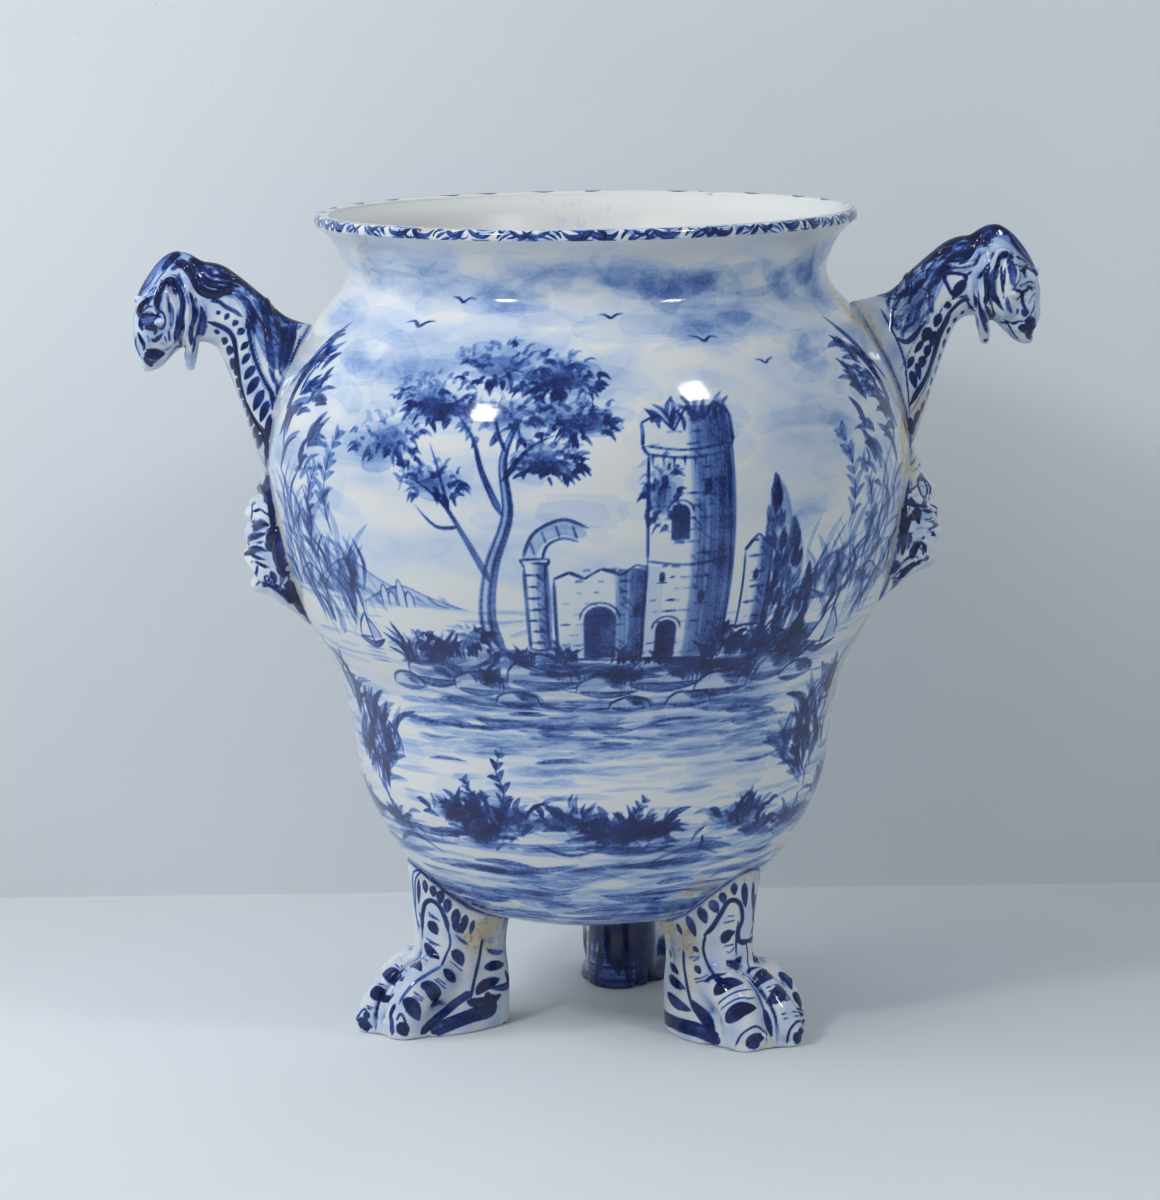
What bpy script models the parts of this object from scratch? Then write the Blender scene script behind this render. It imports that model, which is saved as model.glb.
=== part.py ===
"""Tin-glazed ceramic vase on three paw feet, with a beast-head handle over a relief mask each side.

Run with: blender --background --python part.py
Metres, +Z up. The origin is on the vase's axis, on the surface that it stands on. The painted
front faces -Y, and the handles stand out along +X and -X.
"""
import math

import bmesh
import bpy
from mathutils import Matrix, Vector

# Body: outer radii, and the heights that they are at
RIM_RADIUS = 0.164
RIM_HEIGHT = 0.500
NECK_RADIUS = 0.1463
NECK_HEIGHT = 0.459
BELLY_RADIUS = 0.1955
BELLY_HEIGHT = 0.350
WAIST_RADIUS = 0.1555
WAIST_HEIGHT = 0.222
BOWL_RADIUS = 0.1405
BOWL_HEIGHT = 0.150
BASE_RADIUS = 0.055
BASE_HEIGHT = 0.068
WALL = 0.008
FLOOR_THICKNESS = 0.012

# Rolled lip: the height of its outer band, its thickness, and how far it stands out of the neck
LIP_BAND = 0.0065
LIP_THICKNESS = 0.009
LIP_PROUD = 0.0004
LIP_ROUNDING = 0.0023
LIP_FACETS = 4

# Clearance at a luted joint, where a piece is cut to the surface that carries it
SEAT_GAP = 0.0003
# How far a raw piece runs into the wall before its seat is cut
SEAT_DEPTH = 0.006

# Handles: a neck that leaves the shoulder and ends in a lowered head
NECK_SEAT_TOP = 0.432
NECK_SEAT_BOTTOM = 0.344
HANDLE_REACH = 0.0860
HANDLE_RISE = 0.045
NECK_WIDTH = 0.031
NECK_ROOT_WIDTH = 0.086
NECK_ROOT_TOP_WIDTH = 0.040
HEAD_WIDTH = 0.038
EAR_LENGTH = 0.040
CREST_RADIUS = 0.005
FOLD_RADIUS = 0.0036
BEARD_LENGTH = 0.016
RIGHT_LIFT = 0.010

# Sections of the neck and the head from the shoulder to the muzzle. Each has the place of its top
# and of its underside, as shares of the reach out from the seat and of the rise above the seat's
# top (below it, of the seat's height), and then its widths there, as shares of the neck or head.
NECK_SECTIONS = [
    ((-0.07, 0.13), (0.15, -0.86), 1.15, 2.2),
    ((0.05, 0.37), (0.23, -0.61), 1.0, 1.65),
    ((0.21, 0.63), (0.30, -0.41), 0.85, 1.3),
    ((0.33, 0.81), (0.35, -0.28), 0.75, 1.15),
    ((0.45, 0.88), (0.40, -0.165), 0.7, 1.1),
    ((0.57, 0.87), (0.49, -0.11), 0.7, 1.1),
]
HEAD_SECTIONS = [
    ((0.68, 1.00), (0.60, -0.13), 0.50, 0.90),
    ((0.80, 0.80), (0.68, -0.16), 0.85, 0.95),
    ((0.90, 0.555), (0.72, -0.20), 0.95, 0.95),
    ((0.975, 0.29), (0.78, -0.265), 1.0, 0.90),
    ((1.0, 0.09), (0.84, -0.295), 0.95, 0.80),
    ((0.98, -0.08), (0.89, -0.30), 0.80, 0.68),
    ((0.95, -0.20), (0.92, -0.28), 0.45, 0.40),
]
# Lines on the head: the crest, as (out, up, share of its radius), and the fold behind the ear,
# as (out, up, share of the head's half width)
CREST_LINE = [(0.50, 0.78, 0.70), (0.68, 0.93, 1.00), (0.86, 0.62, 0.84), (0.95, 0.30, 0.72)]
FOLD_LINE = [(0.60, 0.72, 0.55), (0.60, 0.25, 0.95), (0.575, -0.05, 0.85)]

# Relief masks, each below its handle
MASK_HEIGHT = 0.102
MASK_WIDTH = 0.096
MASK_RELIEF = 0.028
CURL_RADIUS = 0.005
# The face's sections from brow to beard, as (drop, relief, width), and the moustache's curl, as
# (drop, relief, share of the half width, share of its radius)
FACE_SECTIONS = [
    (-0.06, 0.10, 0.60), (0.08, 0.20, 0.80), (0.24, 0.46, 0.96), (0.36, 0.56, 1.00),
    (0.48, 0.70, 0.98), (0.59, 0.66, 0.90), (0.69, 0.92, 0.74), (0.77, 0.62, 0.60),
    (0.85, 0.34, 0.48), (0.92, 0.18, 0.36), (1.00, 0.0, 0.22),
]
CURL_LINE = [
    (0.52, 0.72, 0.12, 0.80), (0.50, 0.68, 0.36, 1.04), (0.55, 0.50, 0.62, 1.12),
    (0.67, 0.34, 0.70, 1.00), (0.78, 0.22, 0.56, 0.68),
]

# Paw feet: distances out from the vase's axis, then widths and heights
FOOT_BEARINGS = {"front_left_foot": 195.0, "front_right_foot": 324.0, "back_foot": 78.0}
HEEL_RADIUS = 0.056
ANKLE_FRONT_RADIUS = 0.115
TOE_TIP_RADIUS = 0.152
ANKLE_WIDTH = 0.044
ANKLE_HEIGHT = 0.052
LEG_TOP_WIDTH = 0.074
LEG_HEEL_FLARE = 0.010
LEG_FRONT_FLARE = 0.004
TOE_SPREAD = 0.0215
TOE_RADIUS = 0.0128
TOE_HEIGHT = 0.046
SIDE_TOE_SETBACK = 0.013
INSTEP_SETBACK = 0.016

# Facets: spokes of the turned body, and the grain that the modelled pieces keep
BODY_SPOKES = 48
SECTION_POINTS = 20
CLAY_GRAIN = 0.0021
SMOOTHING_STEPS = 2
HANDLE_FACETS_KEPT = 0.095
MASK_FACETS_KEPT = 0.072
FOOT_FACETS_KEPT = 0.062

# Glaze colours (linear) of the pale ground and of the blue-washed pieces
PALE_GLAZE = (0.71, 0.76, 0.84, 1.0)
WASHED_GLAZE = (0.30, 0.39, 0.62, 1.0)
GLAZE_ROUGHNESS = 0.12


def clear_scene():
    """Remove whatever the scene holds."""
    for item in list(bpy.data.objects):
        bpy.data.objects.remove(item, do_unlink=True)


def glaze(name, colour):
    """A glossy tin glaze of one mean colour."""
    material = bpy.data.materials.new(name)
    material.use_nodes = True
    shader = material.node_tree.nodes["Principled BSDF"]
    shader.inputs["Base Color"].default_value = colour
    shader.inputs["Roughness"].default_value = GLAZE_ROUGHNESS
    shader.inputs["Metallic"].default_value = 0.0
    return material


def add_object(name, mesh_data, material=None):
    """Turn a bmesh into a named object of the scene."""
    mesh = bpy.data.meshes.new(name)
    bmesh.ops.recalc_face_normals(mesh_data, faces=mesh_data.faces)
    mesh_data.to_mesh(mesh)
    mesh_data.free()
    item = bpy.data.objects.new(name, mesh)
    bpy.context.scene.collection.objects.link(item)
    if material:
        mesh.materials.append(material)
    return item


def hide_cutter(item):
    """Keep a cutting shape out of the model."""
    item.hide_render = True
    item.display_type = "WIRE"
    return item


def smooth_through(rows, steps):
    """Read rows of numbers from a Catmull-Rom curve through the given rows."""
    last = len(rows) - 1
    result = []
    for index in range(last):
        near = (rows[max(index - 1, 0)], rows[index], rows[index + 1], rows[min(index + 2, last)])
        for step in range(steps):
            t = step / steps
            result.append(tuple(
                0.5 * (2 * b + (c - a) * t + (2 * a - 5 * b + 4 * c - d) * t ** 2
                       + (3 * b - a - 3 * c + d) * t ** 3)
                for a, b, c, d in zip(*near)))
    result.append(tuple(rows[last]))
    return result


def between(start, end, share):
    """The value at a share of the way from start to end."""
    return start + (end - start) * share


def outer_outline(steps=3):
    """(radius, height) points of the outside, from the edge of the flat base up to the lip."""
    keys = [
        (BASE_RADIUS, BASE_HEIGHT),
        (between(BASE_RADIUS, BOWL_RADIUS, 0.41), between(BASE_HEIGHT, BOWL_HEIGHT, 0.14)),
        (between(BASE_RADIUS, BOWL_RADIUS, 0.75), between(BASE_HEIGHT, BOWL_HEIGHT, 0.50)),
        (BOWL_RADIUS, BOWL_HEIGHT),
        (between(BOWL_RADIUS, WAIST_RADIUS, 0.46), between(BOWL_HEIGHT, WAIST_HEIGHT, 0.53)),
        (WAIST_RADIUS, WAIST_HEIGHT),
        (between(WAIST_RADIUS, BELLY_RADIUS, 0.50), between(WAIST_HEIGHT, BELLY_HEIGHT, 0.29)),
        (between(WAIST_RADIUS, BELLY_RADIUS, 0.88), between(WAIST_HEIGHT, BELLY_HEIGHT, 0.64)),
        (BELLY_RADIUS, BELLY_HEIGHT),
        (between(BELLY_RADIUS, NECK_RADIUS, 0.14), between(BELLY_HEIGHT, NECK_HEIGHT, 0.39)),
        (between(BELLY_RADIUS, NECK_RADIUS, 0.58), between(BELLY_HEIGHT, NECK_HEIGHT, 0.75)),
        (NECK_RADIUS, NECK_HEIGHT),
        (between(NECK_RADIUS, RIM_RADIUS, 0.34), between(NECK_HEIGHT, RIM_HEIGHT, 0.55)),
        (RIM_RADIUS, RIM_HEIGHT - LIP_BAND),
    ]
    return smooth_through(keys, steps)


def offset_outline(points, distance):
    """The outline moved square to itself: outwards when the distance is positive."""
    moved = []
    for index, (radius, height) in enumerate(points):
        ahead = points[min(index + 1, len(points) - 1)]
        behind = points[max(index - 1, 0)]
        along = Vector((ahead[0] - behind[0], ahead[1] - behind[1])).normalized()
        moved.append((radius + along.y * distance, height - along.x * distance))
    return moved


def body_radius(height):
    """The outside radius of the body at a height, read from its outline."""
    points = outer_outline()
    for (low_radius, low), (high_radius, high) in zip(points, points[1:]):
        if low <= height <= high:
            return between(low_radius, high_radius, (height - low) / (high - low))
    return points[0][0] if height < points[0][1] else points[-1][0]


def lip_outline():
    """(radius, height) points over the rolled lip, from its outer band to the inside."""
    half = LIP_THICKNESS / 2
    crown = RIM_HEIGHT - LIP_ROUNDING
    points = [(RIM_RADIUS + LIP_PROUD, RIM_HEIGHT - (LIP_BAND + LIP_ROUNDING) / 2)]
    for step in range(LIP_FACETS + 1):
        angle = math.pi * step / LIP_FACETS
        radius = RIM_RADIUS - half + half * math.cos(angle)
        points.append((radius, crown + LIP_ROUNDING * math.sin(angle)))
    return points


def inner_outline():
    """(radius, height) points down the inside, from below the lip to the centre of the floor."""
    floor = BASE_HEIGHT + FLOOR_THICKNESS
    wall = offset_outline(outer_outline(1), -WALL)
    corner = WALL / 2
    kept = [point for point in reversed(wall[:-1]) if point[1] > floor + corner]
    return kept + [(kept[-1][0] - WALL, floor), (0.0, floor)]


def turn(outline):
    """Spin an outline that starts and ends on the axis into a closed solid."""
    mesh = bmesh.new()
    verts = [mesh.verts.new((radius, 0.0, height)) for radius, height in outline]
    edges = [mesh.edges.new(pair) for pair in zip(verts, verts[1:])]
    bmesh.ops.spin(mesh, geom=verts + edges, cent=(0, 0, 0), axis=(0, 0, 1), dvec=(0, 0, 0),
                   angle=math.tau, steps=BODY_SPOKES, use_merge=True)
    bmesh.ops.remove_doubles(mesh, verts=mesh.verts, dist=0.00001)
    return mesh


def body():
    """The thrown vessel: bowl, waist, belly, neck and rolled lip, open at the mouth."""
    outline = [(0.0, BASE_HEIGHT)] + outer_outline() + lip_outline() + inner_outline()
    item = add_object("vase_body", turn(outline), glaze("Pale tin glaze", PALE_GLAZE))
    item.data.shade_smooth()
    return item


def seat_cutter():
    """The body's outside, one clearance larger, which cuts every seat."""
    grown = offset_outline(outer_outline(), SEAT_GAP)
    base = BASE_HEIGHT - SEAT_GAP
    outline = [(0.0, base)] + grown + [(0.0, grown[-1][1])]
    return hide_cutter(add_object("seat_cutter", turn(outline)))


def level_cutter(name, height, side):
    """A block that takes away all that lies above (side 1) or below (side -1) a height."""
    mesh = bmesh.new()
    reach = 2 * BELLY_RADIUS
    middle = Vector((0.0, 0.0, height + side * reach))
    bmesh.ops.create_cube(mesh, size=2 * reach, matrix=Matrix.Translation(middle))
    return hide_cutter(add_object(name, mesh))


def loft(mesh, rings):
    """Join rings of equal count into a tube with closed ends."""
    loops = [[mesh.verts.new(point) for point in ring] for ring in rings]
    for first, second in zip(loops, loops[1:]):
        for index, corner in enumerate(first):
            after = (index + 1) % len(first)
            mesh.faces.new((corner, first[after], second[after], second[index]))
    mesh.faces.new(reversed(loops[0]))
    mesh.faces.new(loops[-1])


def rung_ring(top, bottom, top_width, bottom_width):
    """An egg-shaped section across two (x, z) points, as wide at each end as asked."""
    ring = []
    for step in range(SECTION_POINTS):
        angle = math.tau * step / SECTION_POINTS
        share = (1 + math.cos(angle)) / 2
        width = between(bottom_width, top_width, share)
        ring.append(Vector((between(bottom[0], top[0], share), math.sin(angle) * width / 2,
                            between(bottom[1], top[1], share))))
    return ring


def oval_ring(centre, half_depth, half_width):
    """A level oval section, with its depth along X and its width along Y."""
    angles = [math.tau * step / SECTION_POINTS for step in range(SECTION_POINTS)]
    return [Vector(centre) + Vector((math.cos(angle) * half_depth, math.sin(angle) * half_width, 0.0))
            for angle in angles]


def round_ring(centre, along, radius):
    """A round section square to a direction."""
    turned = Vector(along).to_track_quat("Z", "Y").to_matrix()
    return [Vector(centre) + turned @ Vector((math.cos(a) * radius, math.sin(a) * radius, 0))
            for a in (math.tau * step / SECTION_POINTS for step in range(SECTION_POINTS))]


def limb(mesh, stations, steps=3):
    """A round tapering limb through (x, y, z, radius) stations."""
    rows = smooth_through(stations, steps)
    rings = []
    for index, row in enumerate(rows):
        ahead = Vector(rows[min(index + 1, len(rows) - 1)][:3])
        behind = Vector(rows[max(index - 1, 0)][:3])
        rings.append(round_ring(row[:3], ahead - behind, row[3]))
    loft(mesh, rings)


def lump(mesh, centre, radii, tilt=0.0):
    """An ellipsoid of clay, leaned in the plane of X and Z by an angle in degrees."""
    place = (Matrix.Translation(centre) @ Matrix.Rotation(math.radians(tilt), 4, "Y")
             @ Matrix.Diagonal((*radii, 1.0)))
    bmesh.ops.create_icosphere(mesh, subdivisions=3, radius=1.0, matrix=place)


def mould(name, mesh, turned, kept, cutters):
    """Fuse raw clay shapes into one skin, soften it, thin its facets and cut its seats."""
    bmesh.ops.transform(mesh, matrix=turned, verts=mesh.verts)
    item = add_object(name, mesh, glaze(name.replace("_", " ").capitalize() + " glaze", WASHED_GLAZE))
    fuse = item.modifiers.new("Fuse", "REMESH")
    fuse.mode = "VOXEL"
    fuse.voxel_size = CLAY_GRAIN
    soften = item.modifiers.new("Soften", "SMOOTH")
    soften.factor = 0.5
    soften.iterations = SMOOTHING_STEPS
    thin = item.modifiers.new("Thin", "DECIMATE")
    thin.ratio = kept
    for cutter in cutters:
        cut = item.modifiers.new("Cut", "BOOLEAN")
        cut.operation = "DIFFERENCE"
        cut.object = cutter
    return item


def handle_frame(lift):
    """The point maker of a handle: shares of its reach and rise to (x, z) places."""
    seat_top = NECK_SEAT_TOP + lift
    seat_height = NECK_SEAT_TOP - NECK_SEAT_BOTTOM
    seat_radius = body_radius(NECK_SEAT_TOP - seat_height / 2)

    def place(out, up):
        scale = HANDLE_RISE if up > 0 else seat_height
        return (seat_radius + out * HANDLE_REACH, seat_top + up * scale)

    return place


def root_rungs(lift):
    """Two sections at the seat, one inside the wall and one on it, across the neck's wide root."""
    top = NECK_SEAT_TOP + lift
    foot = NECK_SEAT_BOTTOM + lift - SEAT_DEPTH
    return [(body_radius(top) - depth, top, body_radius(foot) - depth, foot, NECK_ROOT_TOP_WIDTH,
             NECK_ROOT_WIDTH) for depth in (SEAT_DEPTH, 0.0)]


def neck_and_head(mesh, place, lift):
    """The arched neck that spreads on the shoulder, and the head that it lowers."""
    rungs = root_rungs(lift)
    for rows, width in ((NECK_SECTIONS, NECK_WIDTH), (HEAD_SECTIONS, HEAD_WIDTH)):
        for high, low, top_share, bottom_share in rows:
            rungs.append((*place(*high), *place(*low), top_share * width, bottom_share * width))
    rows = smooth_through(rungs, 2)
    loft(mesh, [rung_ring(row[0:2], row[2:4], row[4], row[5]) for row in rows])


def head_features(mesh, place):
    """Crest, brows, muzzle, jaw, drooping ears, and the folds that end in the beard."""
    half = HEAD_WIDTH / 2
    crest = []
    for out, up, share in CREST_LINE:
        x, z = place(out, up)
        crest.append((x, 0.0, z, share * CREST_RADIUS))
    limb(mesh, crest)
    muzzle_x, muzzle_z = place(0.93, -0.10)
    lump(mesh, (muzzle_x, 0.0, muzzle_z), (half * 0.32, half * 0.75, half * 0.42), 20.0)
    jaw_x, jaw_z = place(0.85, -0.245)
    lump(mesh, (jaw_x, 0.0, jaw_z), (half * 0.52, half * 0.60, half * 0.26), 28.0)
    for side in (-1, 1):
        brow_x, brow_z = place(0.90, 0.30)
        lump(mesh, (brow_x, side * half * 0.70, brow_z), (half * 0.48, half * 0.34, half * 0.24), -48.0)
        ear_x, ear_z = place(0.745, 0.20)
        ear_radii = (EAR_LENGTH * 0.19, half * 0.30, EAR_LENGTH / 2)
        lump(mesh, (ear_x, side * half * 0.92, ear_z), ear_radii, 8.0)
        fold = []
        for out, up, share in FOLD_LINE:
            x, z = place(out, up)
            fold.append((x, side * half * share, z, FOLD_RADIUS))
        beard_x, beard_z = place(0.60, -0.14)
        fold.append((beard_x, side * half * 0.3, beard_z - BEARD_LENGTH * 0.6, FOLD_RADIUS))
        fold.append((beard_x, 0.0, beard_z - BEARD_LENGTH + FOLD_RADIUS, FOLD_RADIUS))
        limb(mesh, fold)


def handle(name, side, lift, seats):
    """A beast's head on an arched neck, luted to the shoulder by the neck's spread root."""
    mesh = bmesh.new()
    place = handle_frame(lift)
    neck_and_head(mesh, place, lift)
    head_features(mesh, place)
    below = level_cutter(name + "_seam_cutter", NECK_SEAT_BOTTOM + lift + SEAT_GAP / 2, -1)
    return mould(name, mesh, Matrix.Diagonal((side, 1, 1, 1)), HANDLE_FACETS_KEPT, [below, seats])


def mask_face(mesh, lift):
    """The mask's domed face, lofted down the belly from its brow to its beard."""
    rings = []
    for drop, relief, width in smooth_through(FACE_SECTIONS, 2):
        height = NECK_SEAT_BOTTOM + lift - drop * MASK_HEIGHT
        wall = body_radius(height) - SEAT_DEPTH
        depth = relief * MASK_RELIEF + SEAT_DEPTH
        rings.append(oval_ring((wall, 0.0, height), depth, width * MASK_WIDTH / 2))
    loft(mesh, rings)


def mask_features(mesh, lift):
    """Brows, nose, curling moustache and lower lip, raised on the mask's face."""
    half = MASK_WIDTH / 2

    def place(drop, relief):
        height = NECK_SEAT_BOTTOM + lift - drop * MASK_HEIGHT
        return body_radius(height) + relief * MASK_RELIEF, height

    nose_x, nose_z = place(0.42, 0.52)
    lump(mesh, (nose_x, 0.0, nose_z), (MASK_RELIEF * 0.25, half * 0.17, MASK_HEIGHT * 0.105), 22.0)
    lip_x, lip_z = place(0.70, 0.74)
    lump(mesh, (lip_x, 0.0, lip_z), (MASK_RELIEF * 0.27, half * 0.30, MASK_HEIGHT * 0.055), -15.0)
    for side in (-1, 1):
        brow_x, brow_z = place(0.24, 0.34)
        brow_radii = (MASK_RELIEF * 0.26, half * 0.28, MASK_HEIGHT * 0.06)
        lump(mesh, (brow_x, side * half * 0.36, brow_z), brow_radii)
        cheek_x, cheek_z = place(0.40, 0.26)
        cheek_radii = (MASK_RELIEF * 0.34, half * 0.24, MASK_HEIGHT * 0.093)
        lump(mesh, (cheek_x, side * half * 0.56, cheek_z), cheek_radii)
        curl = []
        for drop, relief, out, share in CURL_LINE:
            x, z = place(drop, relief)
            curl.append((x, side * half * out, z, share * CURL_RADIUS))
        limb(mesh, curl)


def mask(name, side, lift, seats):
    """A grotesque face in relief, luted to the belly under the handle."""
    mesh = bmesh.new()
    mask_face(mesh, lift)
    mask_features(mesh, lift)
    above = level_cutter(name + "_seam_cutter", NECK_SEAT_BOTTOM + lift - SEAT_GAP / 2, 1)
    return mould(name, mesh, Matrix.Diagonal((side, 1, 1, 1)), MASK_FACETS_KEPT, [above, seats])


def leg(mesh):
    """The leg from the sole up to where it spreads like a fan under the bowl."""
    seat = body_height(ANKLE_FRONT_RADIUS + LEG_FRONT_FLARE)
    bend = between(ANKLE_HEIGHT, seat, 0.45)
    stations = [
        (-SEAT_DEPTH, 0.0, 0.0, ANKLE_WIDTH),
        (ANKLE_HEIGHT / 2, 0.1, 0.75, ANKLE_WIDTH * 1.05),
        (ANKLE_HEIGHT, -0.1, 0.0, ANKLE_WIDTH),
        (bend, 0.4, 0.25, between(ANKLE_WIDTH, LEG_TOP_WIDTH, 0.3)),
        (seat, 1.0, 1.0, LEG_TOP_WIDTH),
        (seat + SEAT_DEPTH, 1.0, 0.5, LEG_TOP_WIDTH),
    ]
    rings = []
    for height, heel_share, front_share, width in smooth_through(stations, 3):
        heel = HEEL_RADIUS - heel_share * LEG_HEEL_FLARE
        front = ANKLE_FRONT_RADIUS + front_share * LEG_FRONT_FLARE
        rings.append(oval_ring(((heel + front) / 2, 0.0, height), (front - heel) / 2, width / 2))
    loft(mesh, rings)


def body_height(radius):
    """The height at which the bowl's outside has a radius."""
    points = outer_outline()
    for (low_radius, low), (high_radius, high) in zip(points, points[1:]):
        if low_radius <= radius <= high_radius:
            return between(low, high, (radius - low_radius) / (high_radius - low_radius))
    return points[0][1]


def toes(mesh):
    """Three toes that arch over their knuckles to the claws, and the pad under them."""
    instep = ANKLE_FRONT_RADIUS - INSTEP_SETBACK
    for lane in (-1, 0, 1):
        tip = TOE_TIP_RADIUS - abs(lane) * SIDE_TOE_SETBACK
        aside = lane * TOE_SPREAD
        limb(mesh, [
            (instep - TOE_RADIUS, aside * 0.35, TOE_HEIGHT - TOE_RADIUS * 0.6, TOE_RADIUS * 0.8),
            (instep, aside * 0.62, TOE_HEIGHT - TOE_RADIUS * 0.9, TOE_RADIUS * 0.95),
            (between(instep, tip, 0.35), aside * 0.90, TOE_HEIGHT - TOE_RADIUS, TOE_RADIUS),
            (between(instep, tip, 0.58), aside, TOE_HEIGHT * 0.52, TOE_RADIUS * 0.96),
            (tip - TOE_RADIUS, aside, TOE_HEIGHT * 0.25, TOE_RADIUS),
            (tip - TOE_RADIUS, aside, 0.0, TOE_RADIUS * 0.92),
        ])
        lump(mesh, (tip - TOE_RADIUS * 0.35, aside, TOE_RADIUS * 0.65),
             (TOE_RADIUS * 0.45, TOE_RADIUS * 0.5, TOE_RADIUS * 0.6))
    pad = (HEEL_RADIUS + TOE_TIP_RADIUS) / 2
    half = (TOE_TIP_RADIUS - HEEL_RADIUS) / 2
    lump(mesh, (pad, 0.0, 0.0), (half * 0.88, TOE_SPREAD + TOE_RADIUS * 0.7, TOE_HEIGHT * 0.5))


def foot(name, bearing, seats, ground):
    """A lion's paw that stands on a flat sole and seats under the bowl."""
    mesh = bmesh.new()
    leg(mesh)
    toes(mesh)
    turned = Matrix.Rotation(math.radians(bearing), 4, "Z")
    return mould(name, mesh, turned, FOOT_FACETS_KEPT, [ground, seats])


def build():
    """Make the vase."""
    clear_scene()
    body()
    seats = seat_cutter()
    ground = level_cutter("ground_cutter", 0.0, -1)
    for name, side, lift in (("left", -1, 0.0), ("right", 1, RIGHT_LIFT)):
        handle(name + "_handle", side, lift, seats)
        mask(name + "_mask", side, lift, seats)
    for name, bearing in FOOT_BEARINGS.items():
        foot(name, bearing, seats, ground)


build()
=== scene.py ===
"""Looks of a tin-glazed vase on paw feet: a wall painted in cobalt, beast-head handles and masks."""
import math

import bmesh
import bpy
import numpy as np
from mathutils import Matrix, Vector
from mathutils.bvhtree import BVHTree


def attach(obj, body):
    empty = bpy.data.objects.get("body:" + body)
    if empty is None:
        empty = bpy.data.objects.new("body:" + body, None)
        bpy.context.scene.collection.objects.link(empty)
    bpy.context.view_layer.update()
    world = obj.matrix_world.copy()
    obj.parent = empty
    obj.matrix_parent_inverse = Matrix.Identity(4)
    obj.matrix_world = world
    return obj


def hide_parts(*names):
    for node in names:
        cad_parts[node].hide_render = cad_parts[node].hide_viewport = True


bl_info = {
    "name": "Painted Vase",
    "version": (1, 0, 0),
    "blender": (4, 5, 0),
    "location": "3D View > Sidebar > Vase",
    "description": "Dresses the vase's frame with its painted wall, handles, masks and paw feet",
    "category": "Object",
}

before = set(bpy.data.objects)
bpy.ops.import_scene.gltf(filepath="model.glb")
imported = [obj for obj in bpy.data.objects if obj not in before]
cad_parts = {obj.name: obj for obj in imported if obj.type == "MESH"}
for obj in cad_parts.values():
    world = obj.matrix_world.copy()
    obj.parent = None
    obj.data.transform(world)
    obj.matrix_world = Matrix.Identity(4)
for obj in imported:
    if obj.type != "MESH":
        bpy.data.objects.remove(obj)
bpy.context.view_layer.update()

MM = 0.001


# Curves

def smooth(rows, steps):
    """A Catmull-Rom curve through rows of numbers."""
    rows = np.asarray(rows, float)
    padded = np.vstack([rows[:1], rows, rows[-1:]])
    share = np.linspace(0.0, 1.0, steps, endpoint=False)[:, None]
    pieces = []
    for a, b, c, d in zip(padded, padded[1:], padded[2:], padded[3:]):
        pieces.append(0.5 * (2 * b + (c - a) * share + (2 * a - 5 * b + 4 * c - d) * share ** 2
                             + (3 * b - a - 3 * c + d) * share ** 3))
    return np.vstack(pieces + [rows[-1:]])


def blend(low, high, value):
    """0 at low and 1 at high, with soft ends."""
    share = np.clip((value - low) / (high - low), 0.0, 1.0)
    return share * share * (3 - 2 * share)


def laid_over(before, load):
    """Colour strengths after more colour has sunk into what is already there."""
    return 1.0 - (1.0 - before) * (1.0 - np.clip(load, 0.0, 1.0))


def run_of(outline):
    """Distances along an outline from its first point."""
    return np.concatenate([[0.0], np.cumsum(np.hypot(*np.diff(outline, axis=0).T))])


def nearest(points, across, up):
    """Distance to a path, how far along it the nearest spot is, and on which side of it."""
    steps = np.hypot(*np.diff(points, axis=0).T)
    marks = np.concatenate([[0.0], np.cumsum(steps)]) / max(steps.sum(), 1e-6)
    best = np.full(across.shape, 1e12)
    run = np.zeros(across.shape)
    side = np.ones(across.shape)
    for (ax, ay), (bx, by), start, end in zip(points, points[1:], marks, marks[1:]):
        dx, dy = bx - ax, by - ay
        length = max(dx * dx + dy * dy, 1e-9)
        share = np.clip(((across - ax) * dx + (up - ay) * dy) / length, 0.0, 1.0)
        ex, ey = across - ax - share * dx, up - ay - share * dy
        gap = ex * ex + ey * ey
        closer = gap < best
        best = np.where(closer, gap, best)
        run = np.where(closer, start + share * (end - start), run)
        side = np.where(closer, np.sign(dx * ey - dy * ex), side)
    return np.sqrt(best), run, side


def along(path, share):
    """A point part of the way along a path."""
    points = smooth(path, 8)
    return points[int(round(share * (len(points) - 1)))]


# Sizes read from the frame

def outline_of(node, outside):
    """(radius, height) points of a node's outside or inside, from its spoke at +X, in millimetres."""
    points = set()
    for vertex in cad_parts[node].data.vertices:
        on_spoke = abs(vertex.co.y) < 0.1 * MM and vertex.co.x > 0
        if on_spoke and (vertex.normal.x > 0) == outside:
            points.add((round(vertex.co.z / MM, 3), round(vertex.co.x / MM, 3)))
    return np.array([(radius, height) for height, radius in sorted(points)])


OUTSIDE = outline_of("vase_body", True)
INSIDE = outline_of("vase_body", False)
LIP_BOTTOM = 493.5
LIP_INSIDE = 497
BORE_TOP = 498
FLOOR_HEIGHT = float(np.min(INSIDE[INSIDE[:, 0] > OUTSIDE[0, 0] + 1, 1]))
WALL_OUTLINE = smooth(OUTSIDE[OUTSIDE[:, 1] <= LIP_BOTTOM + 0.01], 4)
LIP_OUTLINE = smooth(np.vstack([OUTSIDE[OUTSIDE[:, 1] >= LIP_BOTTOM - 0.01],
                                INSIDE[INSIDE[:, 1] > LIP_INSIDE][::-1]]), 4)
IN_BORE = (INSIDE[:, 1] > FLOOR_HEIGHT - 0.01) & (INSIDE[:, 1] < BORE_TOP)
BORE_OUTLINE = smooth(INSIDE[IN_BORE][::-1], 6)


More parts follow.
